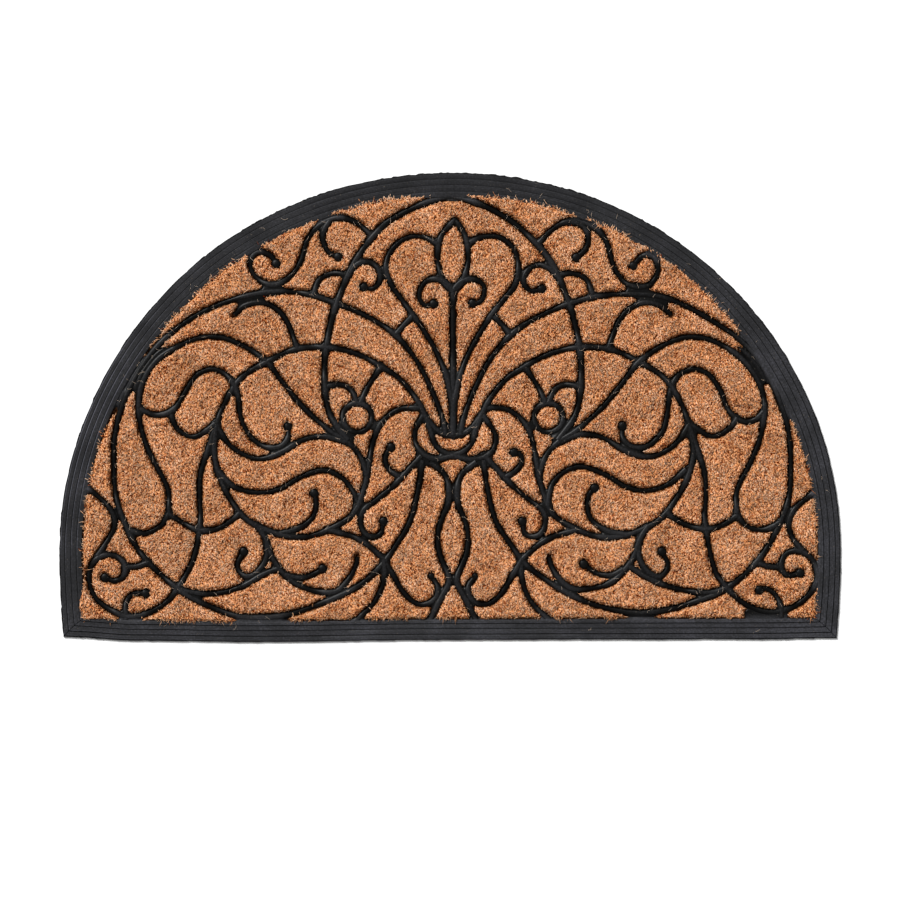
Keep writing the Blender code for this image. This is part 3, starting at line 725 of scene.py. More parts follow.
def borderGreyAndLight(x, y, profile):
    # how grey each of those points is drawn, with painted highlight on step edges and painted shade in
    # the grooves and on the outer edge
    paleX, paleY = rubberWearAndLight["highlightPlace"]
    pale = np.exp(-((x - paleX) ** 2 + (y - paleY) ** 2) / rubberWearAndLight["highlightSpread"] ** 2)
    pale = rubberWearAndLight["edgesElsewhere"] + (1 - rubberWearAndLight["edgesElsewhere"]) * pale
    patchy = rubberWearAndLight["patchLevel"] + rubberWearAndLight["patchDepth"] * softNoise(x, y, rubberWearAndLight["patch"], 71)
    edges = rubberWearAndLight["edges"] * pale * patchy
    bands = rubberWearAndLight["bands"] + rubberWearAndLight["rightSide"] * np.clip(x / plan["halfWidth"], 0, 1) ** 3
    bands = bands + np.where(y < 10, rubberWearAndLight["base"], 0.0)
    least = rubberWearAndLight["straightGroove"]
    grooveShade = rubberWearAndLight["bands"] * (least + (1 - least) * (np.abs(x) / plan["halfWidth"]) ** 2)
    return np.concatenate([bands + edge * (edges if edge > 0 else grooveShade)
                           for share, z, dip, edge in profile])


def buildBorder():
    steps = (border["arcSteps"], border["sideSteps"], border["baseSteps"])
    rim = outline(0.0, *steps)
    profile = borderProfile()
    rings = borderRings(rim, profile, steps)
    bpy.ops.mesh.primitive_circle_add(vertices=len(rim), fill_type="NOTHING")
    piece = bpy.context.object
    station = piece.data.attributes.new("station", "INT", "POINT")
    station.data.foreach_set("value", np.arange(len(rim), dtype=np.int32))
    bpy.ops.object.mode_set(mode="EDIT")
    bpy.ops.mesh.select_all(action="SELECT")
    newRingOf(piece, rings[0])
    bpy.ops.mesh.edge_face_add()  # the underside
    bpy.ops.mesh.select_mode(type="EDGE")
    bpy.ops.mesh.select_all(action="SELECT")
    for points in rings[1:]:
        bpy.ops.mesh.extrude_edges_move()
        newRingOf(piece, points)
    bpy.ops.mesh.edge_face_add()  # the back sheet's upper side, under the panel
    leaveEditMode()
    writeAttribute(piece, "across", np.repeat([row[0] for row in profile], len(rim)))
    writeAttribute(piece, "scuffAndPaintedLight", borderGreyAndLight(*rim.T, profile))
    piece.data.attributes.remove(piece.data.attributes["station"])
    return piece


# The ribs are rounded beads, deep in the pile on their own and higher where they meet.
bead = {
    "spacing": 2.6,
    "halfWidth": 2.85,
    "low": -1.9,  # heights in the section are from its shoulder
    "top": 1.7,
    "arcs": 5,
    "shoulder": 3.1,
    "rise": 2.3,  # how much higher a bead is where another one or the border is near
    "edgeRise": 1.5,  # and right beside the border
    "edgeReach": (3, 9),  # from the border to where a bead may have its whole rise
    "edgeGap": 1.5,  # the border counts as this much further off than another bead
    "near": 7.0,
    "far": 14.0,
    "unevenness": 0.035,
    "swellWaves": (0.31, 0.83),
    "wander": 0.35,
    "wanderWave": 0.17,
    "paintedLightFrom": 4.8,  # from this height up a bead is drawn greyer, in full this much higher up: painted light, with painted shade below
    "paintedLightOver": 2.2,
    "greyByBorder": ((-1, 0.9), (5, 0.42)),  # how far in from the border, and how grey
}
widerRibs = {"topArc": 1.15, "column": 1.12, "loopBase": 1.05, "heart": 1.03, "middleStem": 1.16,
             "sideRidge": 0.85}
# The width at a rib's first points, as shares.
pointedRibs = {
    "petal": (0.4, 0.72, 0.9),
    "topArc": (0.66, 0.66, 0.68, 0.7, 0.74, 0.8, 0.87, 0.93),
    "sideRidge": (0.25, 0.45, 0.65, 0.85),
}
ball = {"diameter": 8.8, "middle": 4.7, "halfHeight": 1.5, "scuffAndPaintedLight": 0.14}


def beadSection():
    rows = [(-bead["halfWidth"], bead["low"])]
    for i in range(bead["arcs"] + 1):
        a = math.pi * (1 - i / bead["arcs"])
        rows.append((bead["halfWidth"] * math.cos(a), bead["top"] * math.sin(a)))
    return rows + [(bead["halfWidth"], bead["low"])]


# The line that the ribs' ends grow out of, along the border's bands and further out at the sides.
bandLine = {
    "share": 0.9, "sideShare": 0.8, "sideX": 325, "sideY": (24, 210), "steps": (400, 24, 240),
}


def borderLine():
    line = outline(bandLine["share"], *bandLine["steps"])
    x, y = line.T
    low, high = bandLine["sideY"]
    atSide = (np.abs(x) > bandLine["sideX"]) & (y > low) & (y < high)
    return np.where(atSide[:, None], outline(bandLine["sideShare"], *bandLine["steps"]), line)


def howNear(points, others):
    # how far each point lies from the nearest of the others
    return np.linalg.norm(points[:, None] - others[None], axis=2).min(axis=1)


def liftOf(index, lines, edge):
    # how much each point of a rib is raised by its neighbours
    others = np.vstack([line for i, line in enumerate(lines) if i != index])
    toEdge = howNear(lines[index], edge)
    gap = np.minimum(howNear(lines[index], others), toEdge + bead["edgeGap"])
    share = np.clip((bead["far"] - gap) / (bead["far"] - bead["near"]), 0, 1)
    share = np.convolve(np.pad(share, 2, mode="edge"), np.ones(5) / 5, "valid")
    lift = bead["rise"] * share * share * (3 - 2 * share)
    # beside the border a rib is no higher than the border is
    return np.minimum(lift, np.interp(toEdge, bead["edgeReach"], (bead["edgeRise"], bead["rise"])))


def sweptPiece(name, section, courses):
    # one mesh of the section swept along each course: its points, their radii and if it closes
    sectionCurve = bpy.data.curves.new(name + "_section", "CURVE")
    spline = addSpline(sectionCurve, len(section), True)
    for point, (x, z) in zip(spline.points, section):
        point.co = (x * mm, z * mm, 0, 1)
    sectionObject = linkPiece(name + "_section", sectionCurve)

    curve = bpy.data.curves.new(name, "CURVE")
    curve.dimensions = "3D"
    curve.twist_mode = "Z_UP"
    curve.bevel_mode = "OBJECT"
    curve.bevel_object = sectionObject
    curve.use_fill_caps = True
    for points, radii, closed in courses:
        spline = addSpline(curve, len(points), closed)
        for point, spot, radius in zip(spline.points, points, radii):
            point.co = (*worldPoint(*spot), 1)
            point.radius = radius
    piece = meshFromCurve(name, curve)
    bpy.data.objects.remove(sectionObject)
    return piece


def beadCourses():
    # each rib's points with the height of its shoulders, its width as a share, and if it closes
    rng = random.Random(5)
    found = everyRib(bead["spacing"])
    lines = [line for name, line, closed in found]
    edge = borderLine()
    made = []
    for index, (name, line, closed) in enumerate(found):
        phase = rng.uniform(0, 100)
        along = np.arange(len(line))
        slow, quick = bead["swellWaves"]
        swell = np.sin(phase + along * slow) + np.sin(phase * 2 + along * quick)
        drift = np.sin(phase * 3 + along * bead["wanderWave"])
        z = bead["shoulder"] + liftOf(index, lines, edge) + bead["wander"] * drift
        radii = widerRibs.get(name, 1.0) * (1 + bead["unevenness"] * swell)
        sharp = pointedRibs.get(name, ())
        radii[: len(sharp)] *= sharp
        if name == "sideRidge" and line[0, 0] < 0:  # the left one ends in a point too
            radii[-len(sharp) :] *= sharp[::-1]
        made.append((np.column_stack([line, z]), radii, closed))
    return made


ribCourses = beadCourses()


# How far each spot lies from the nearest rubber, on a grid: below 0 under a rib or the border.
clearanceSet = {
    "step": 1.0,
    "reach": 14.0,
    "margin": 12.0,
    "fillet": 3.6,  # how near two edges are when the rubber begins to fill the corner between
    "leastFillet": 0.2,
    "outline": (1100, 80, 700),  # the points on the border's inner edge
    "between": 1 / 3,  # rounds stand this share of a rib's own spacing apart
    "standOff": 0.55,  # the pile begins this far from a bead's side
    "standOffNoise": (4.0, 0.6),  # the size and the depth of its unevenness
}
# Where the pile's edge lies round the border: how far it reaches over the rubber, by degrees round
# the arch from its right foot, and by x along the base.
pileEdge = {
    "arch": [(0, -0.2), (12, -0.2), (25, 0.1), (38, 1.2), (50, 2.9), (67, 2.8), (78, 3.0), (86, 1.9),
             (95, 3.0), (112, 2.3), (127, 1.3), (142, -0.3), (150, 0.2), (154, -1.2),
             (157, -2.0), (160, -1.4), (164, 0.0), (168, -0.8), (174, -1.6), (180, -1.7)],
    "base": [(-350, 0.5), (-230, 0.3), (-140, -1.0), (200, -0.8), (350, -0.6)],
    "baseHeight": 60,  # below this, and this far from the sides, the pile lies at the base
    "baseInset": 45,
    "corner": (350, 30),
    "cornerSize": 11.0,
    "cornerSpill": {"left": 8.0, "right": 0.48},
    "raggedSize": 7.0,
    "ragged": (0.7, 1.4),  # how deep its unevenness is, below and above the height that follows
    "raggedHeight": 200,
}


def joined(first, second, size):
    # the clearance to two pieces of rubber, with a fillet where both are near
    far = np.maximum(first, second)
    h = np.clip(1 - np.abs(first - second) / size, 0, 1)
    return np.minimum(first, second) - h * h * size / 4 * np.clip(1 - far / size, 0, 1)


def gridLines():
    # the grid's columns and rows, a little past the mat on all sides
    step = clearanceSet["step"]
    margin = clearanceSet["margin"]
    half = plan["halfWidth"] + margin
    return (np.arange(-half, half + step, step),
            np.arange(-margin, plan["arcCentre"] + plan["arcHeight"] + margin, step))


gridXs, gridYs = gridLines()
gridX, gridY = np.meshgrid(gridXs, gridYs)


def lower(field, x, y, radius, levels=None, level=0.0):
    # takes a round of rubber into the field, and its height into the levels
    step = clearanceSet["step"]
    i = int((x - gridXs[0]) / step)
    j = int((y - gridYs[0]) / step)
    k = int((clearanceSet["reach"] + radius) / step) + 1
    spot = (slice(max(j - k, 0), j + k), slice(max(i - k, 0), i + k))
    away = np.hypot(gridX[spot] - x, gridY[spot] - y) - radius
    if levels is not None:
        levels[spot] = np.where(away < field[spot], level, levels[spot])
    np.minimum(field[spot], away, out=field[spot])


def filletSizes():
    sizes = np.full(gridX.shape, clearanceSet["fillet"])
    for side in halves:
        for x, y, spread, extra in fullPlaces:
            cx, cy = placed([(x, y)], side)[0]
            sizes += extra * np.exp(-((gridX - cx) ** 2 + (gridY - cy) ** 2) / spread**2)
    return np.maximum(sizes, clearanceSet["leastFillet"])


def awayFromRibs(fillet):
    # how far each spot is from the rubber of ribs and webs, and from the nearest rib on its own,
    # and the height of the shoulders of the ribs round it
    reach = clearanceSet["reach"]
    toRib = np.full(gridX.shape, reach)
    nearRib = np.full(gridX.shape, reach)
    weight = np.full(gridX.shape, 0.001)
    level = weight * bead["shoulder"]
    for points, radii, closed in ribCourses:
        if closed:
            points = np.vstack([points, points[:1]])
            radii = np.append(radii, radii[0])
        at = np.arange(0, len(points) - 0.99, clearanceSet["between"])
        table = np.column_stack([points, radii * bead["halfWidth"]])
        dense = [np.interp(at, np.arange(len(points)), column) for column in table.T]
        field = np.full(gridX.shape, reach)
        heights = np.zeros(gridX.shape)
        for x, y, z, radius in zip(*dense):
            lower(field, x, y, radius, heights, z)
        share = np.where(field < reach, 1 / (1 + np.maximum(field, 0)) ** 3, 0)
        level += share * heights
        weight += share
        toRib = joined(toRib, field, fillet)
        nearRib = np.minimum(nearRib, field)
    for x, y, diameter in webRounds():
        field = np.full(gridX.shape, reach)
        lower(field, x, y, diameter / 2)
        toRib = joined(toRib, field, fillet)
    return toRib, nearRib, level / weight


def awayFromBorder():
    # how far each spot is from the border's inner edge, below 0 on the border
    away = np.full(gridX.shape, clearanceSet["reach"])
    for x, y in outline(1.0, *clearanceSet["outline"]):
        lower(away, x, y, 0.0)
    return np.where(insideOutline(gridX, gridY, 1.0), away, -away)


def awayFromPileEdge(toBorder):
    # the pile's edge wanders, and it reaches over the border in the left corner
    over = np.maximum(gridY - plan["arcCentre"], 0)
    angle = np.degrees(np.arctan2(over / plan["arcHeight"], gridX / plan["halfWidth"]))
    alongBase = gridY < pileEdge["baseHeight"]
    alongBase &= np.abs(gridX) < plan["halfWidth"] - pileEdge["baseInset"]
    reachOver = np.where(alongBase, readTable(pileEdge["base"], gridX),
                         readTable(pileEdge["arch"], angle))
    cornerX, cornerY = pileEdge["corner"]
    away = (np.abs(gridX) - cornerX) ** 2 + (gridY - cornerY) ** 2
    spill = np.where(gridX < 0, *(pileEdge["cornerSpill"][side] for side in halves))
    reachOver += spill * np.exp(-away / (2 * pileEdge["cornerSize"] ** 2))
    below, above = pileEdge["ragged"]
    ragged = np.where(gridY > pileEdge["raggedHeight"], above, below)
    return toBorder + reachOver + ragged * softNoise(gridX, gridY, pileEdge["raggedSize"], 42)


def makeClearance():
    # to the bare rubber and to the pile's own edges, which keep a little off it or reach over it
    fillet = filletSizes()
    toRib, nearRib, level = awayFromRibs(fillet)
    toBorder = awayFromBorder()
    rubberEdge = joined(toRib, toBorder, fillet)
    for x, y, diameter in ballPlaces():
        lower(toRib, x, y, diameter / 2)
    size, uneven = clearanceSet["standOffNoise"]
    pileToRib = toRib - clearanceSet["standOff"] + uneven * softNoise(gridX, gridY, size, 41)
    pileToBorder = awayFromPileEdge(toBorder)
    return {"level": level, "rubberEdge": rubberEdge, "bare": np.minimum(nearRib, toBorder),
            "inward": toBorder, "toRib": pileToRib, "toBorder": pileToBorder,
            "any": joined(pileToRib, pileToBorder, fillet)}


def readMap(field, x, y):
    # the field's value at each place
    u = np.clip((x - gridXs[0]) / clearanceSet["step"], 0, field.shape[1] - 1.001)
    v = np.clip((y - gridYs[0]) / clearanceSet["step"], 0, field.shape[0] - 1.001)
    return between(field, u, v)


def uphill(field, x, y):
    # the level direction in which the clearance grows fastest
    dx = readMap(field, x + 1, y) - readMap(field, x - 1, y)
    dy = readMap(field, x, y + 1) - readMap(field, x, y - 1)
    size = np.maximum(np.hypot(dx, dy), 1e-6)
    return dx / size, dy / size


clearance = makeClearance()
print("clearances worked out")


def buildBeads():
    piece = sweptPiece("scroll_ribs", beadSection(), ribCourses)
    # raised rubber is drawn greyer, a painted highlight, and what lies deep in the pile black, a
    # painted shade, most of all at the border
    x, y, z = pointsOf(piece).T / mm
    inward = readMap(clearance["inward"], x, y + plan["depthCentre"])
    raised = np.clip((z - bead["paintedLightFrom"]) / bead["paintedLightOver"], 0, 1)
    writeAttribute(piece, "scuffAndPaintedLight", raised * readTable(bead["greyByBorder"], inward))
    return piece


# The webs: one low sheet of rubber wherever ribs meet or run close together.
web = {
    "least": 0.12,  # how much of a fillet there is before it is drawn
    "furthest": 0.8,  # and how far out it is drawn
    "deepest": -1.4,  # it stops this far inside a bead
    "aboveShoulder": 0.85,
    "slope": ((-0.6, 0.0), (-0.1, -0.25), (0.3, -1.2), (0.9, -3.0)),  # clearance, and height
    "greyByBorder": ((1, 0.6), (6, 0.2)),  # how far in from the border, and how grey
}


def buildWebs():
    edge = clearance["rubberEdge"]
    bare = clearance["bare"]
    drawn = (bare - edge > web["least"]) & (edge < web["furthest"]) & (bare > web["deepest"])
    cells = drawn[:-1, :-1] | drawn[1:, :-1] | drawn[:-1, 1:] | drawn[1:, 1:]
    rows, columns = np.nonzero(cells)
    width = drawn.shape[1]
    corners = [(rows + up) * width + columns + right
               for up, right in ((0, 0), (0, 1), (1, 1), (1, 0))]
    used, faces = np.unique(np.stack(corners, axis=1), return_inverse=True)
    j = used // width
    i = used % width
    z = clearance["level"][j, i] + web["aboveShoulder"]
    z = z + readTable(web["slope"], edge[j, i])
    points = worldPoints(gridXs[i], gridYs[j], z)
    piece = meshFromArrays("webs", points, faces.reshape(-1, 4))
    # a web is drawn greyer towards the border, which is as high, and darker further in as painted
    # shade
    writeAttribute(piece, "scuffAndPaintedLight", readTable(web["greyByBorder"], clearance["inward"][j, i]))
    return piece


def buildBalls():
    made = []
    for x, y, diameter in ballPlaces():
        bpy.ops.mesh.primitive_uv_sphere_add(segments=18, ring_count=9, radius=diameter / 2 * mm,
                                             location=worldPoint(x, y, ball["middle"]))
        knob = bpy.context.object
        knob.scale.z = ball["halfHeight"] / (ball["diameter"] / 2)
        writeAttribute(knob, "scuffAndPaintedLight", np.full(len(knob.data.vertices), ball["scuffAndPaintedLight"]))
        made.append(knob)
    return made


def buildRubber():
    # the moulding's parts, joined into one piece
    borderPiece = buildBorder()
    print("border:", len(borderPiece.data.polygons), "faces")
    beads = buildBeads()
    webSheet = buildWebs()
    print("beads:", len(beads.data.polygons), "faces, and webs:", len(webSheet.data.polygons))
    parts = [borderPiece, beads, webSheet, *buildBalls()]
    bpy.ops.object.select_all(action="DESELECT")
    for part in parts:
        part.select_set(True)
    bpy.context.view_layer.objects.active = borderPiece
    bpy.ops.object.transform_apply(location=True, rotation=True, scale=True)
    bpy.ops.object.join()
    piece = bpy.context.object
    piece.name = piece.data.name = "rubber_scrollwork"
    bpy.ops.object.shade_smooth_by_angle(angle=math.radians(38))
    finishPiece(piece, rubberMaterial, "rubber_moulding")
    return piece


rubber = buildRubber()
print("rubber moulding done:", sum(len(p.vertices) - 2 for p in rubber.data.polygons), "triangles")


# The panel's body: pressed thin under the ribs and the border's lap, puffed up between them.
panel = {
    "spacing": 2.0,
    "bottom": coirLow.z / mm,
    "pressed": 3.1,
    "top": 8.3,
    "lump": 0.4,
    "lumpSize": 7.0,
    "knap": 0.45,
    "knapSize": 2.4,
    "shade": ((-0.2, 0.1), (0.8, 1.0)),  # clearance, and how light the bedding is there: painted shade darkens it beside the rubber
}
# The grid is drawn in towards the rubber's sides: clearance before and after.
drawIn = ((-2.6, -2.6), (-1.2, -0.1), (0.9, 0.65), (4.5, 4.5), (20, 20))
# The pile's height above its pressed layer by clearance, as a share.
pileRise = ((-0.1, 0.0), (0.65, 0.74), (1.6, 0.93), (3.2, 1.0))


def pileHeight(x, y, gap):
    share = readTable(pileRise, gap)
    lumps = panel["lump"] * softNoise(x, y, panel["lumpSize"], 21)
    lumps += panel["knap"] * softNoise(x, y, panel["knapSize"], 22)
    return panel["pressed"] + share * (panel["top"] - panel["pressed"] + lumps)


def buildPanel():
    width = 2 * (plan["halfWidth"] - plan["lap"] * plan["sideBorder"])
    low = plan["lap"] * plan["baseBorder"]
    high = plan["arcCentre"] + plan["arcHeight"] - plan["lap"] * plan["topBorder"]
    countX = round(width / panel["spacing"])
    countY = round((high - low) / panel["spacing"])
    bpy.ops.object.select_all(action="DESELECT")
    bpy.ops.mesh.primitive_grid_add(x_subdivisions=countX, y_subdivisions=countY, size=1)
    piece = bpy.context.object
    piece.name = piece.data.name = "coir_bed"
    spots = pointsOf(piece)
    x = spots[:, 0] * width
    y = low + (spots[:, 1] + 0.5) * (high - low)
    kept = insideOutline(x, y, plan["lap"] + 0.02)
    gap = readMap(clearance["any"], x, y)
    wayX, wayY = uphill(clearance["any"], x, y)
    shift = readTable(drawIn, gap) - gap
    x = x + wayX * shift
    y = y + wayY * shift
    gap = readMap(clearance["any"], x, y)
    piece.data.vertices.foreach_set("co", worldPoints(x, y, pileHeight(x, y, gap)).ravel())
    # painted shade: the bedding is darker where it meets the rubber
    writeAttribute(piece, "tone", readTable(panel["shade"], gap))
    piece.data.update()
    bpy.ops.object.mode_set(mode="EDIT")
    bm = bmesh.from_edit_mesh(piece.data)
    bm.select_mode = {"VERT"}
    for v, keep in zip(bm.verts, kept):
        v.select = not keep
    bm.select_flush_mode()
    bmesh.update_edit_mesh(piece.data)
    bpy.ops.mesh.delete(type="VERT")
    bpy.ops.mesh.select_mode(type="EDGE")
    bpy.ops.mesh.select_non_manifold()
    bpy.ops.mesh.extrude_edges_move()
    bm = bmesh.from_edit_mesh(piece.data)
    for v in bm.verts:
        if v.select:
            v.co.z = panel["bottom"] * mm
    bmesh.update_edit_mesh(piece.data)
    bpy.ops.mesh.edge_face_add()
    leaveEditMode()
    finishPiece(piece, beddingMaterial, "coir_panel")
    # the sheet's flat area: half an ellipse over a strip that the base's corners bound
    straight = plan["arcCentre"] - low
    area = math.pi / 2 * (width / 2) * (high - low - straight) + width * straight
    return piece, (width, high - low), area


coirBed, panelSize, panelArea = buildPanel()
print("coir bed done:", len(coirBed.data.polygons), "faces")

# The cut fibres of the pile. Each is a sliver with two pointed ends, set across each other.
fibre = {
    "pieces": 3,
    "each": 48500,
    "length": (2.4, 5.2),
    "width": (0.5, 0.95),
    "tipWidth": 0.8,  # as a share of the width at its root
    "lean": (4, 52),  # degrees above the level
    "tilt": 0.5,  # how unevenly the root's edge is tilted, in radians
    "twist": (35, 80),  # degrees from one end's edge to the other's
    "combed": 0.7,  # share of the fibres that lie roughly across the mat, as they were combed
    "combedSpread": 0.45,  # how unevenly, in radians, and how far their way bends from place to place
    "combedBend": 0.9,
    "bendSize": 11.0,
    "sunk": 0.8,
    "crown": (0.1, 1.3),  # how far a tip may stand above the pile
    "least": 0.15,  # how near the rubber a fibre is rooted
    "spill": 0.7,  # how far most fibres may reach over the rubber
    "farSpill": 4.0,  # and how far a few of them, with their share
    "farShare": 0.012,
    "splayWithin": 2.5,  # fibres this near the border may splay out over it, this share of them
    "splayShare": 0.7,
    "splaySpread": 0.7,
    "splaySpill": 2.6,
    "puffSize": 26.0,  # the size of the stretches where they do, which lie where the noise is higher
    "puffFrom": -0.1,
    "cutShort": 0.45,
    "strays": 0.16,  # share of those that are long and thin and reach far over the border
    "strayLength": (1.5, 2.3),
    "straySpill": 6.5,
    "strayWidth": 0.6,
    "tone": (0.69, 0.15),  # the middle and the spread of their shades, and the ends of its range
    "toneRange": (0.02, 0.84),
    "brown": 0.07,  # share of the fibres that are brown
    "brownTone": (0.0, 0.25),
    "patches": ((12.0, 0.13), (3.0, 0.12)),  # the size and depth of their uneven shade
    "blotch": 0.22,  # how much darker the blotches are, how large, and where the noise is higher
    "blotchSize": 4.5,
    "blotchFrom": 0.62,
    "rootPaintedShade": 0.37,  # how much darker a fibre is at its root, painted shade deep in the pile, and paler at its tip, painted light
    "tipPaintedLight": 0.08,
    "palest": 0.92,
}


def scatterRoots(count, rng):
    # random places in the cells, clear of the rubber
    xs = []
    ys = []
    while sum(map(len, xs)) < count:
        x = rng.uniform(-plan["halfWidth"], plan["halfWidth"], count)
        y = rng.uniform(0, plan["arcCentre"] + plan["arcHeight"], count)
        free = readMap(clearance["any"], x, y) > fibre["least"]
        xs.append(x[free])
        ys.append(y[free])
    return np.concatenate(xs)[:count], np.concatenate(ys)[:count]


def fibreEnds(x, y, rng):
    # where each fibre starts and ends, in millimetres
    count = len(x)
    turn = rng.uniform(0, 2 * math.pi, count)
    bend = softNoise(x, y, fibre["bendSize"], 51) * fibre["combedBend"]
    combed = rng.choice((-1, 1), count) * math.pi / 2 + bend
    along = rng.random(count) < fibre["combed"]
    turn = np.where(along, combed + rng.normal(0, fibre["combedSpread"], count), turn)
    reach = rng.uniform(*fibre["length"], count)
    lean = np.radians(rng.uniform(*fibre["lean"], count))

    # at the border the fibres splay outwards, and elsewhere they stay off the rubber
    toBorder = readMap(clearance["toBorder"], x, y)
    outX, outY = uphill(clearance["toBorder"], x, y)
    puffed = softNoise(x, y, fibre["puffSize"], 52) > fibre["puffFrom"]
    splayed = (toBorder < fibre["splayWithin"]) & puffed & (rng.random(count) < fibre["splayShare"])
    outTurn = np.arctan2(-outY, -outX) + rng.normal(0, fibre["splaySpread"], count)
    turn = np.where(splayed, outTurn, turn)
    level = reach * np.cos(lean)
    spill = np.where(splayed, fibre["splaySpill"], fibre["spill"])
    spill = np.where(rng.random(count) < fibre["farShare"], fibre["farSpill"], spill)
    stray = splayed & (rng.random(count) < fibre["strays"])
    level = np.where(stray, level * rng.uniform(*fibre["strayLength"], count), level)
    spill = np.where(stray, fibre["straySpill"], spill)
    # a fibre that would reach too far over is turned away, and at last cut short
    for turned in (math.pi, math.pi / 2, math.pi, 0.0):
        tipX = x + level * np.cos(turn)
        tipY = y + level * np.sin(turn)
        over = readMap(clearance["any"], tipX, tipY) < -spill
        turn = np.where(over, turn + turned, turn)
    level = np.where(over, level * fibre["cutShort"], level)
    tipX = x + level * np.cos(turn)
    tipY = y + level * np.sin(turn)
    gap = readMap(clearance["any"], x, y)
    z = pileHeight(x, y, gap) - fibre["sunk"] * rng.random(count)
    tipZ = z + reach * np.sin(lean)
    crown = pileHeight(tipX, tipY, np.maximum(readMap(clearance["any"], tipX, tipY), 1.0))
    tipZ = np.minimum(tipZ, crown + rng.uniform(*fibre["crown"], count))
    slender = np.where(stray, fibre["strayWidth"], 1.0)
    return np.column_stack([x, y, z]), np.column_stack([tipX, tipY, tipZ]), slender


def buildFibres(number):
    rng = np.random.default_rng(100 + number)
    x, y = scatterRoots(fibre["each"], rng)
    root, tip, slender = fibreEnds(x, y, rng)
    along = tip - root
    along /= np.linalg.norm(along, axis=1)[:, None]
    level = np.column_stack([-along[:, 1], along[:, 0], np.zeros(len(x))])
    level /= np.linalg.norm(level, axis=1)[:, None]
    upright = np.cross(along, level)
    wide = (rng.uniform(*fibre["width"], len(x)) * slender)[:, None] / 2
    tilt = rng.normal(0, fibre["tilt"], len(x))[:, None]
    twist = tilt + np.radians(rng.uniform(*fibre["twist"], len(x)))[:, None]
    rootSide = (level * np.cos(tilt) + upright * np.sin(tilt)) * wide
    tipSide = (level * np.cos(twist) + upright * np.sin(twist)) * wide * fibre["tipWidth"]
    corners = np.stack([root - rootSide, root + rootSide, tip - tipSide, tip + tipSide], axis=1)
    corners[:, :, 1] -= plan["depthCentre"]
    first = 4 * np.arange(len(x))[:, None, None]
    faces = first + np.array([[0, 2, 1], [0, 1, 3], [0, 3, 2], [1, 2, 3]])[None]
    piece = meshFromArrays(f"coir_fibres_{number + 1}", corners.reshape(-1, 3) * mm,
                           faces.reshape(-1, 3))

    large, small = [depth * softNoise(x, y, size, seed)
                    for (size, depth), seed in zip(fibre["patches"], (61, 62))]
    tone = np.clip(rng.normal(*fibre["tone"], len(x)) + (large + small), *fibre["toneRange"])
    blotched = softNoise(x, y, fibre["blotchSize"], 63) > fibre["blotchFrom"]
    tone = np.where(blotched, tone - fibre["blotch"], tone)
    brown = rng.random(len(x)) < fibre["brown"]
    tone = np.where(brown, rng.uniform(*fibre["brownTone"], len(x)), tone)
    # painted shade at each fibre's root and painted light at its tip
    ends = np.repeat([-fibre["rootPaintedShade"], fibre["tipPaintedLight"]], 2)
    writeAttribute(piece, "tone", np.clip(tone[:, None] + ends, 0, fibre["palest"]).ravel())

    # each fibre has its own small square of the OFBake map
    side = math.ceil(math.sqrt(len(x)))
    square = np.column_stack([np.arange(len(x)) % side, np.arange(len(x)) // side])
    spots = np.array([[0.15, 0.15], [0.85, 0.15], [0.15, 0.85], [0.85, 0.85]])
    uv = (square[:, None, :] + spots[None]) / side
    uvMap = piece.data.uv_layers.new(name="OFBake")
    uvMap.data.foreach_set("uv", uv.reshape(-1, 2)[faces.ravel()].astype(np.float32).ravel())
    finishPiece(piece, coirMaterial, None)
    return piece


fibres = [buildFibres(number) for number in range(fibre["pieces"])]
print("fibres done:", fibre["pieces"] * fibre["each"])

# Loose pale fibres that have worked out of the pile and lie across the ribs and the border.
loose = {
    "count": 440,
    "length": (3.5, 9.0),
    "radius": 0.062,
    "points": 6,
    "bend": 1.1,
    "inset": 8,  # from the mat's edge
    "tone": 0.95,
    "taper": 0.45,  # by this share they are thinner at the ends
    "onRib": 0.5,  # this near a rib or the border they count as lying on it
    "onBorder": 13,  # how far out on the border they lie, and the share of such places that is kept
    "borderShare": 0.16,
    "lift": 0.1,
}
# The border as they lie on it, from the pile outwards: how wide its bands are in all, where each
# begins as a share of that, how wide a step is, and how far above a band a fibre lies.
borderTop = {
    "width": plan["topBorder"] * 0.93,
    "starts": (0, 0.25, 0.5, 0.73, 0.93),
    "step": 0.6,
    "above": 0.25,
}


def surfaceTop(x, y):
    # the height of whatever lies here: pile, rib or border
    toRib = readMap(clearance["toRib"], x, y)
    toBorder = readMap(clearance["toBorder"], x, y)
    pile = pileHeight(x, y, np.minimum(toRib, toBorder))
    depth = np.clip(-toRib / bead["halfWidth"], 0, 1)
    ribTop = readMap(clearance["level"], x, y) + bead["top"] * np.sqrt(depth * (2 - depth))
    steps = np.array(borderTop["starts"]) * borderTop["width"] + borderTop["step"]
    bandTop = np.interp(-toBorder, steps, border["heights"][::-1]) + borderTop["above"]
    return np.where(toBorder < 0, bandTop, np.maximum(pile, ribTop))


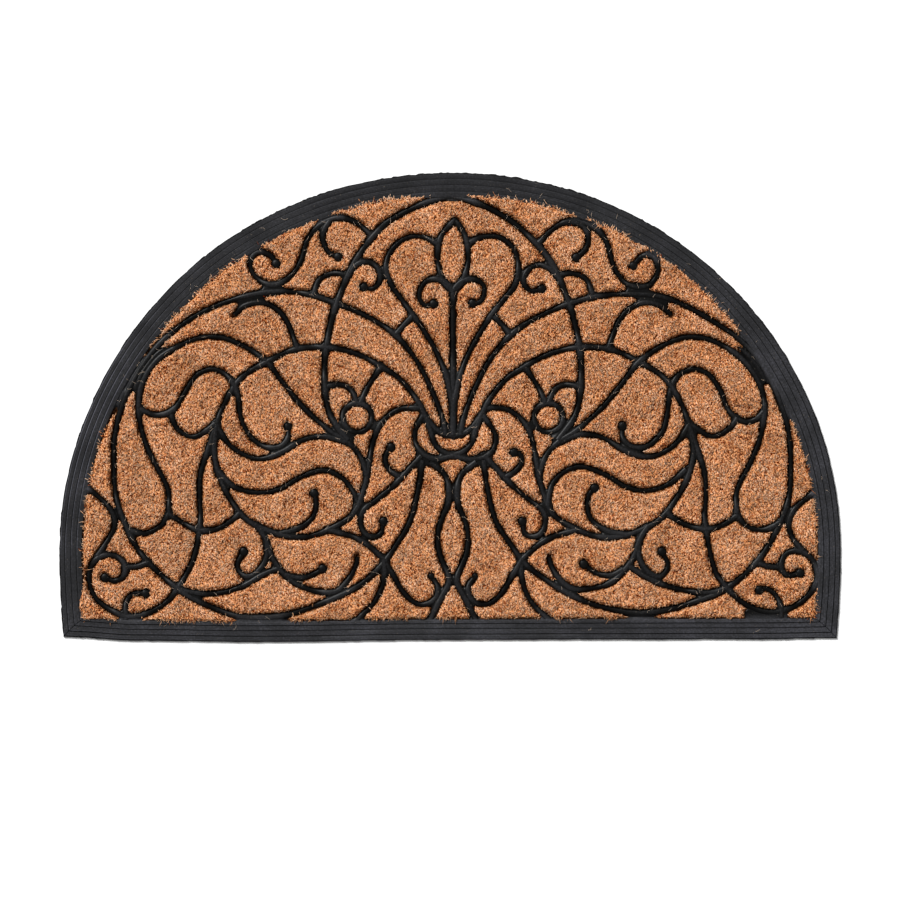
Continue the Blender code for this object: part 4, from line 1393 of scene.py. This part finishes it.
def buildLoose():
    rng = np.random.default_rng(77)
    curve = bpy.data.curves.new("loose_fibres", "CURVE")
    curve.dimensions = "3D"
    curve.bevel_depth = loose["radius"] * mm
    curve.bevel_resolution = 0
    curve.use_fill_caps = True
    placedCount = 0
    while placedCount < loose["count"]:
        x = rng.uniform(-plan["halfWidth"] + loose["inset"], plan["halfWidth"] - loose["inset"])
        y = rng.uniform(loose["inset"], plan["arcCentre"] + plan["arcHeight"] - loose["inset"])
        toBorder, toRib = [readMap(clearance[name], np.array([x]), np.array([y]))[0]
                           for name in ("toBorder", "toRib")]
        onRib = toBorder > 0 and toRib < loose["onRib"]
        onBorder = -loose["onBorder"] < toBorder < loose["onRib"]
        onBorder = onBorder and rng.random() < loose["borderShare"]
        if not (onRib or onBorder):
            continue
        placedCount += 1
        length = rng.uniform(*loose["length"])
        turn = rng.uniform(0, 2 * math.pi)
        bend = rng.normal(0, loose["bend"])
        t = np.linspace(-0.5, 0.5, loose["points"])
        way = turn + bend * t
        px = x + np.cumsum(np.cos(way)) * length / loose["points"]
        py = y + np.cumsum(np.sin(way)) * length / loose["points"]
        pz = surfaceTop(px, py) + loose["radius"]
        pz = np.maximum(pz, np.interp(t, (-0.5, 0.5), (pz[0], pz[-1]))) + loose["lift"]
        spline = addSpline(curve, len(t), False)
        for i, point in enumerate(spline.points):
            point.co = (*worldPoint(px[i], py[i], pz[i]), 1)
            middle = math.sin(math.pi * (i + 0.5) / loose["points"])
            point.radius = 1 - loose["taper"] + loose["taper"] * middle
    piece = meshFromCurve("loose_fibres", curve)
    writeAttribute(piece, "tone", np.full(len(piece.data.vertices), loose["tone"]))
    finishPiece(piece, coirMaterial, None)
    return piece


looseFibres = buildLoose()
print("loose fibres done:", loose["count"])

# The floor, the light and the picture's tones.
studio = {
    "floorSize": 9.0,  # in metres, as the sun's place is
    "world": 0.34,
    "sun": 4.7,
    "sunSpread": 26,  # degrees across
    "sunTilt": (-35, -35),  # degrees from straight down: from the arch's side, and from the left
    "sunPlace": (0, 0.8, 2),
}


def buildStudio():
    bpy.ops.mesh.primitive_plane_add(size=studio["floorSize"], location=(0, 0, -0.1 * mm))
    floor = bpy.context.object
    floor.name = "floor"
    material, tree, shader = newMaterial("matt_white_board")
    setSockets(tree, shader, {"Base Color": colour("#fbfbfb"), "Roughness": 0.9,
                              "Specular IOR Level": 0.0})
    floor.data.materials.append(material)

    tilt = [math.radians(a) for a in (*studio["sunTilt"], 0)]
    bpy.ops.object.light_add(type="SUN", location=studio["sunPlace"], rotation=tilt)
    key = bpy.context.object
    key.data.energy = studio["sun"]
    key.data.angle = math.radians(studio["sunSpread"])

    world = bpy.context.scene.world or bpy.data.worlds.new("studio")
    bpy.context.scene.world = world
    world.use_nodes = True
    background = world.node_tree.nodes["Background"]
    background.inputs["Color"].default_value = (1, 1, 1, 1)
    background.inputs["Strength"].default_value = studio["world"]
    bpy.context.scene.view_settings.view_transform = "Standard"


buildStudio()
print("studio done")
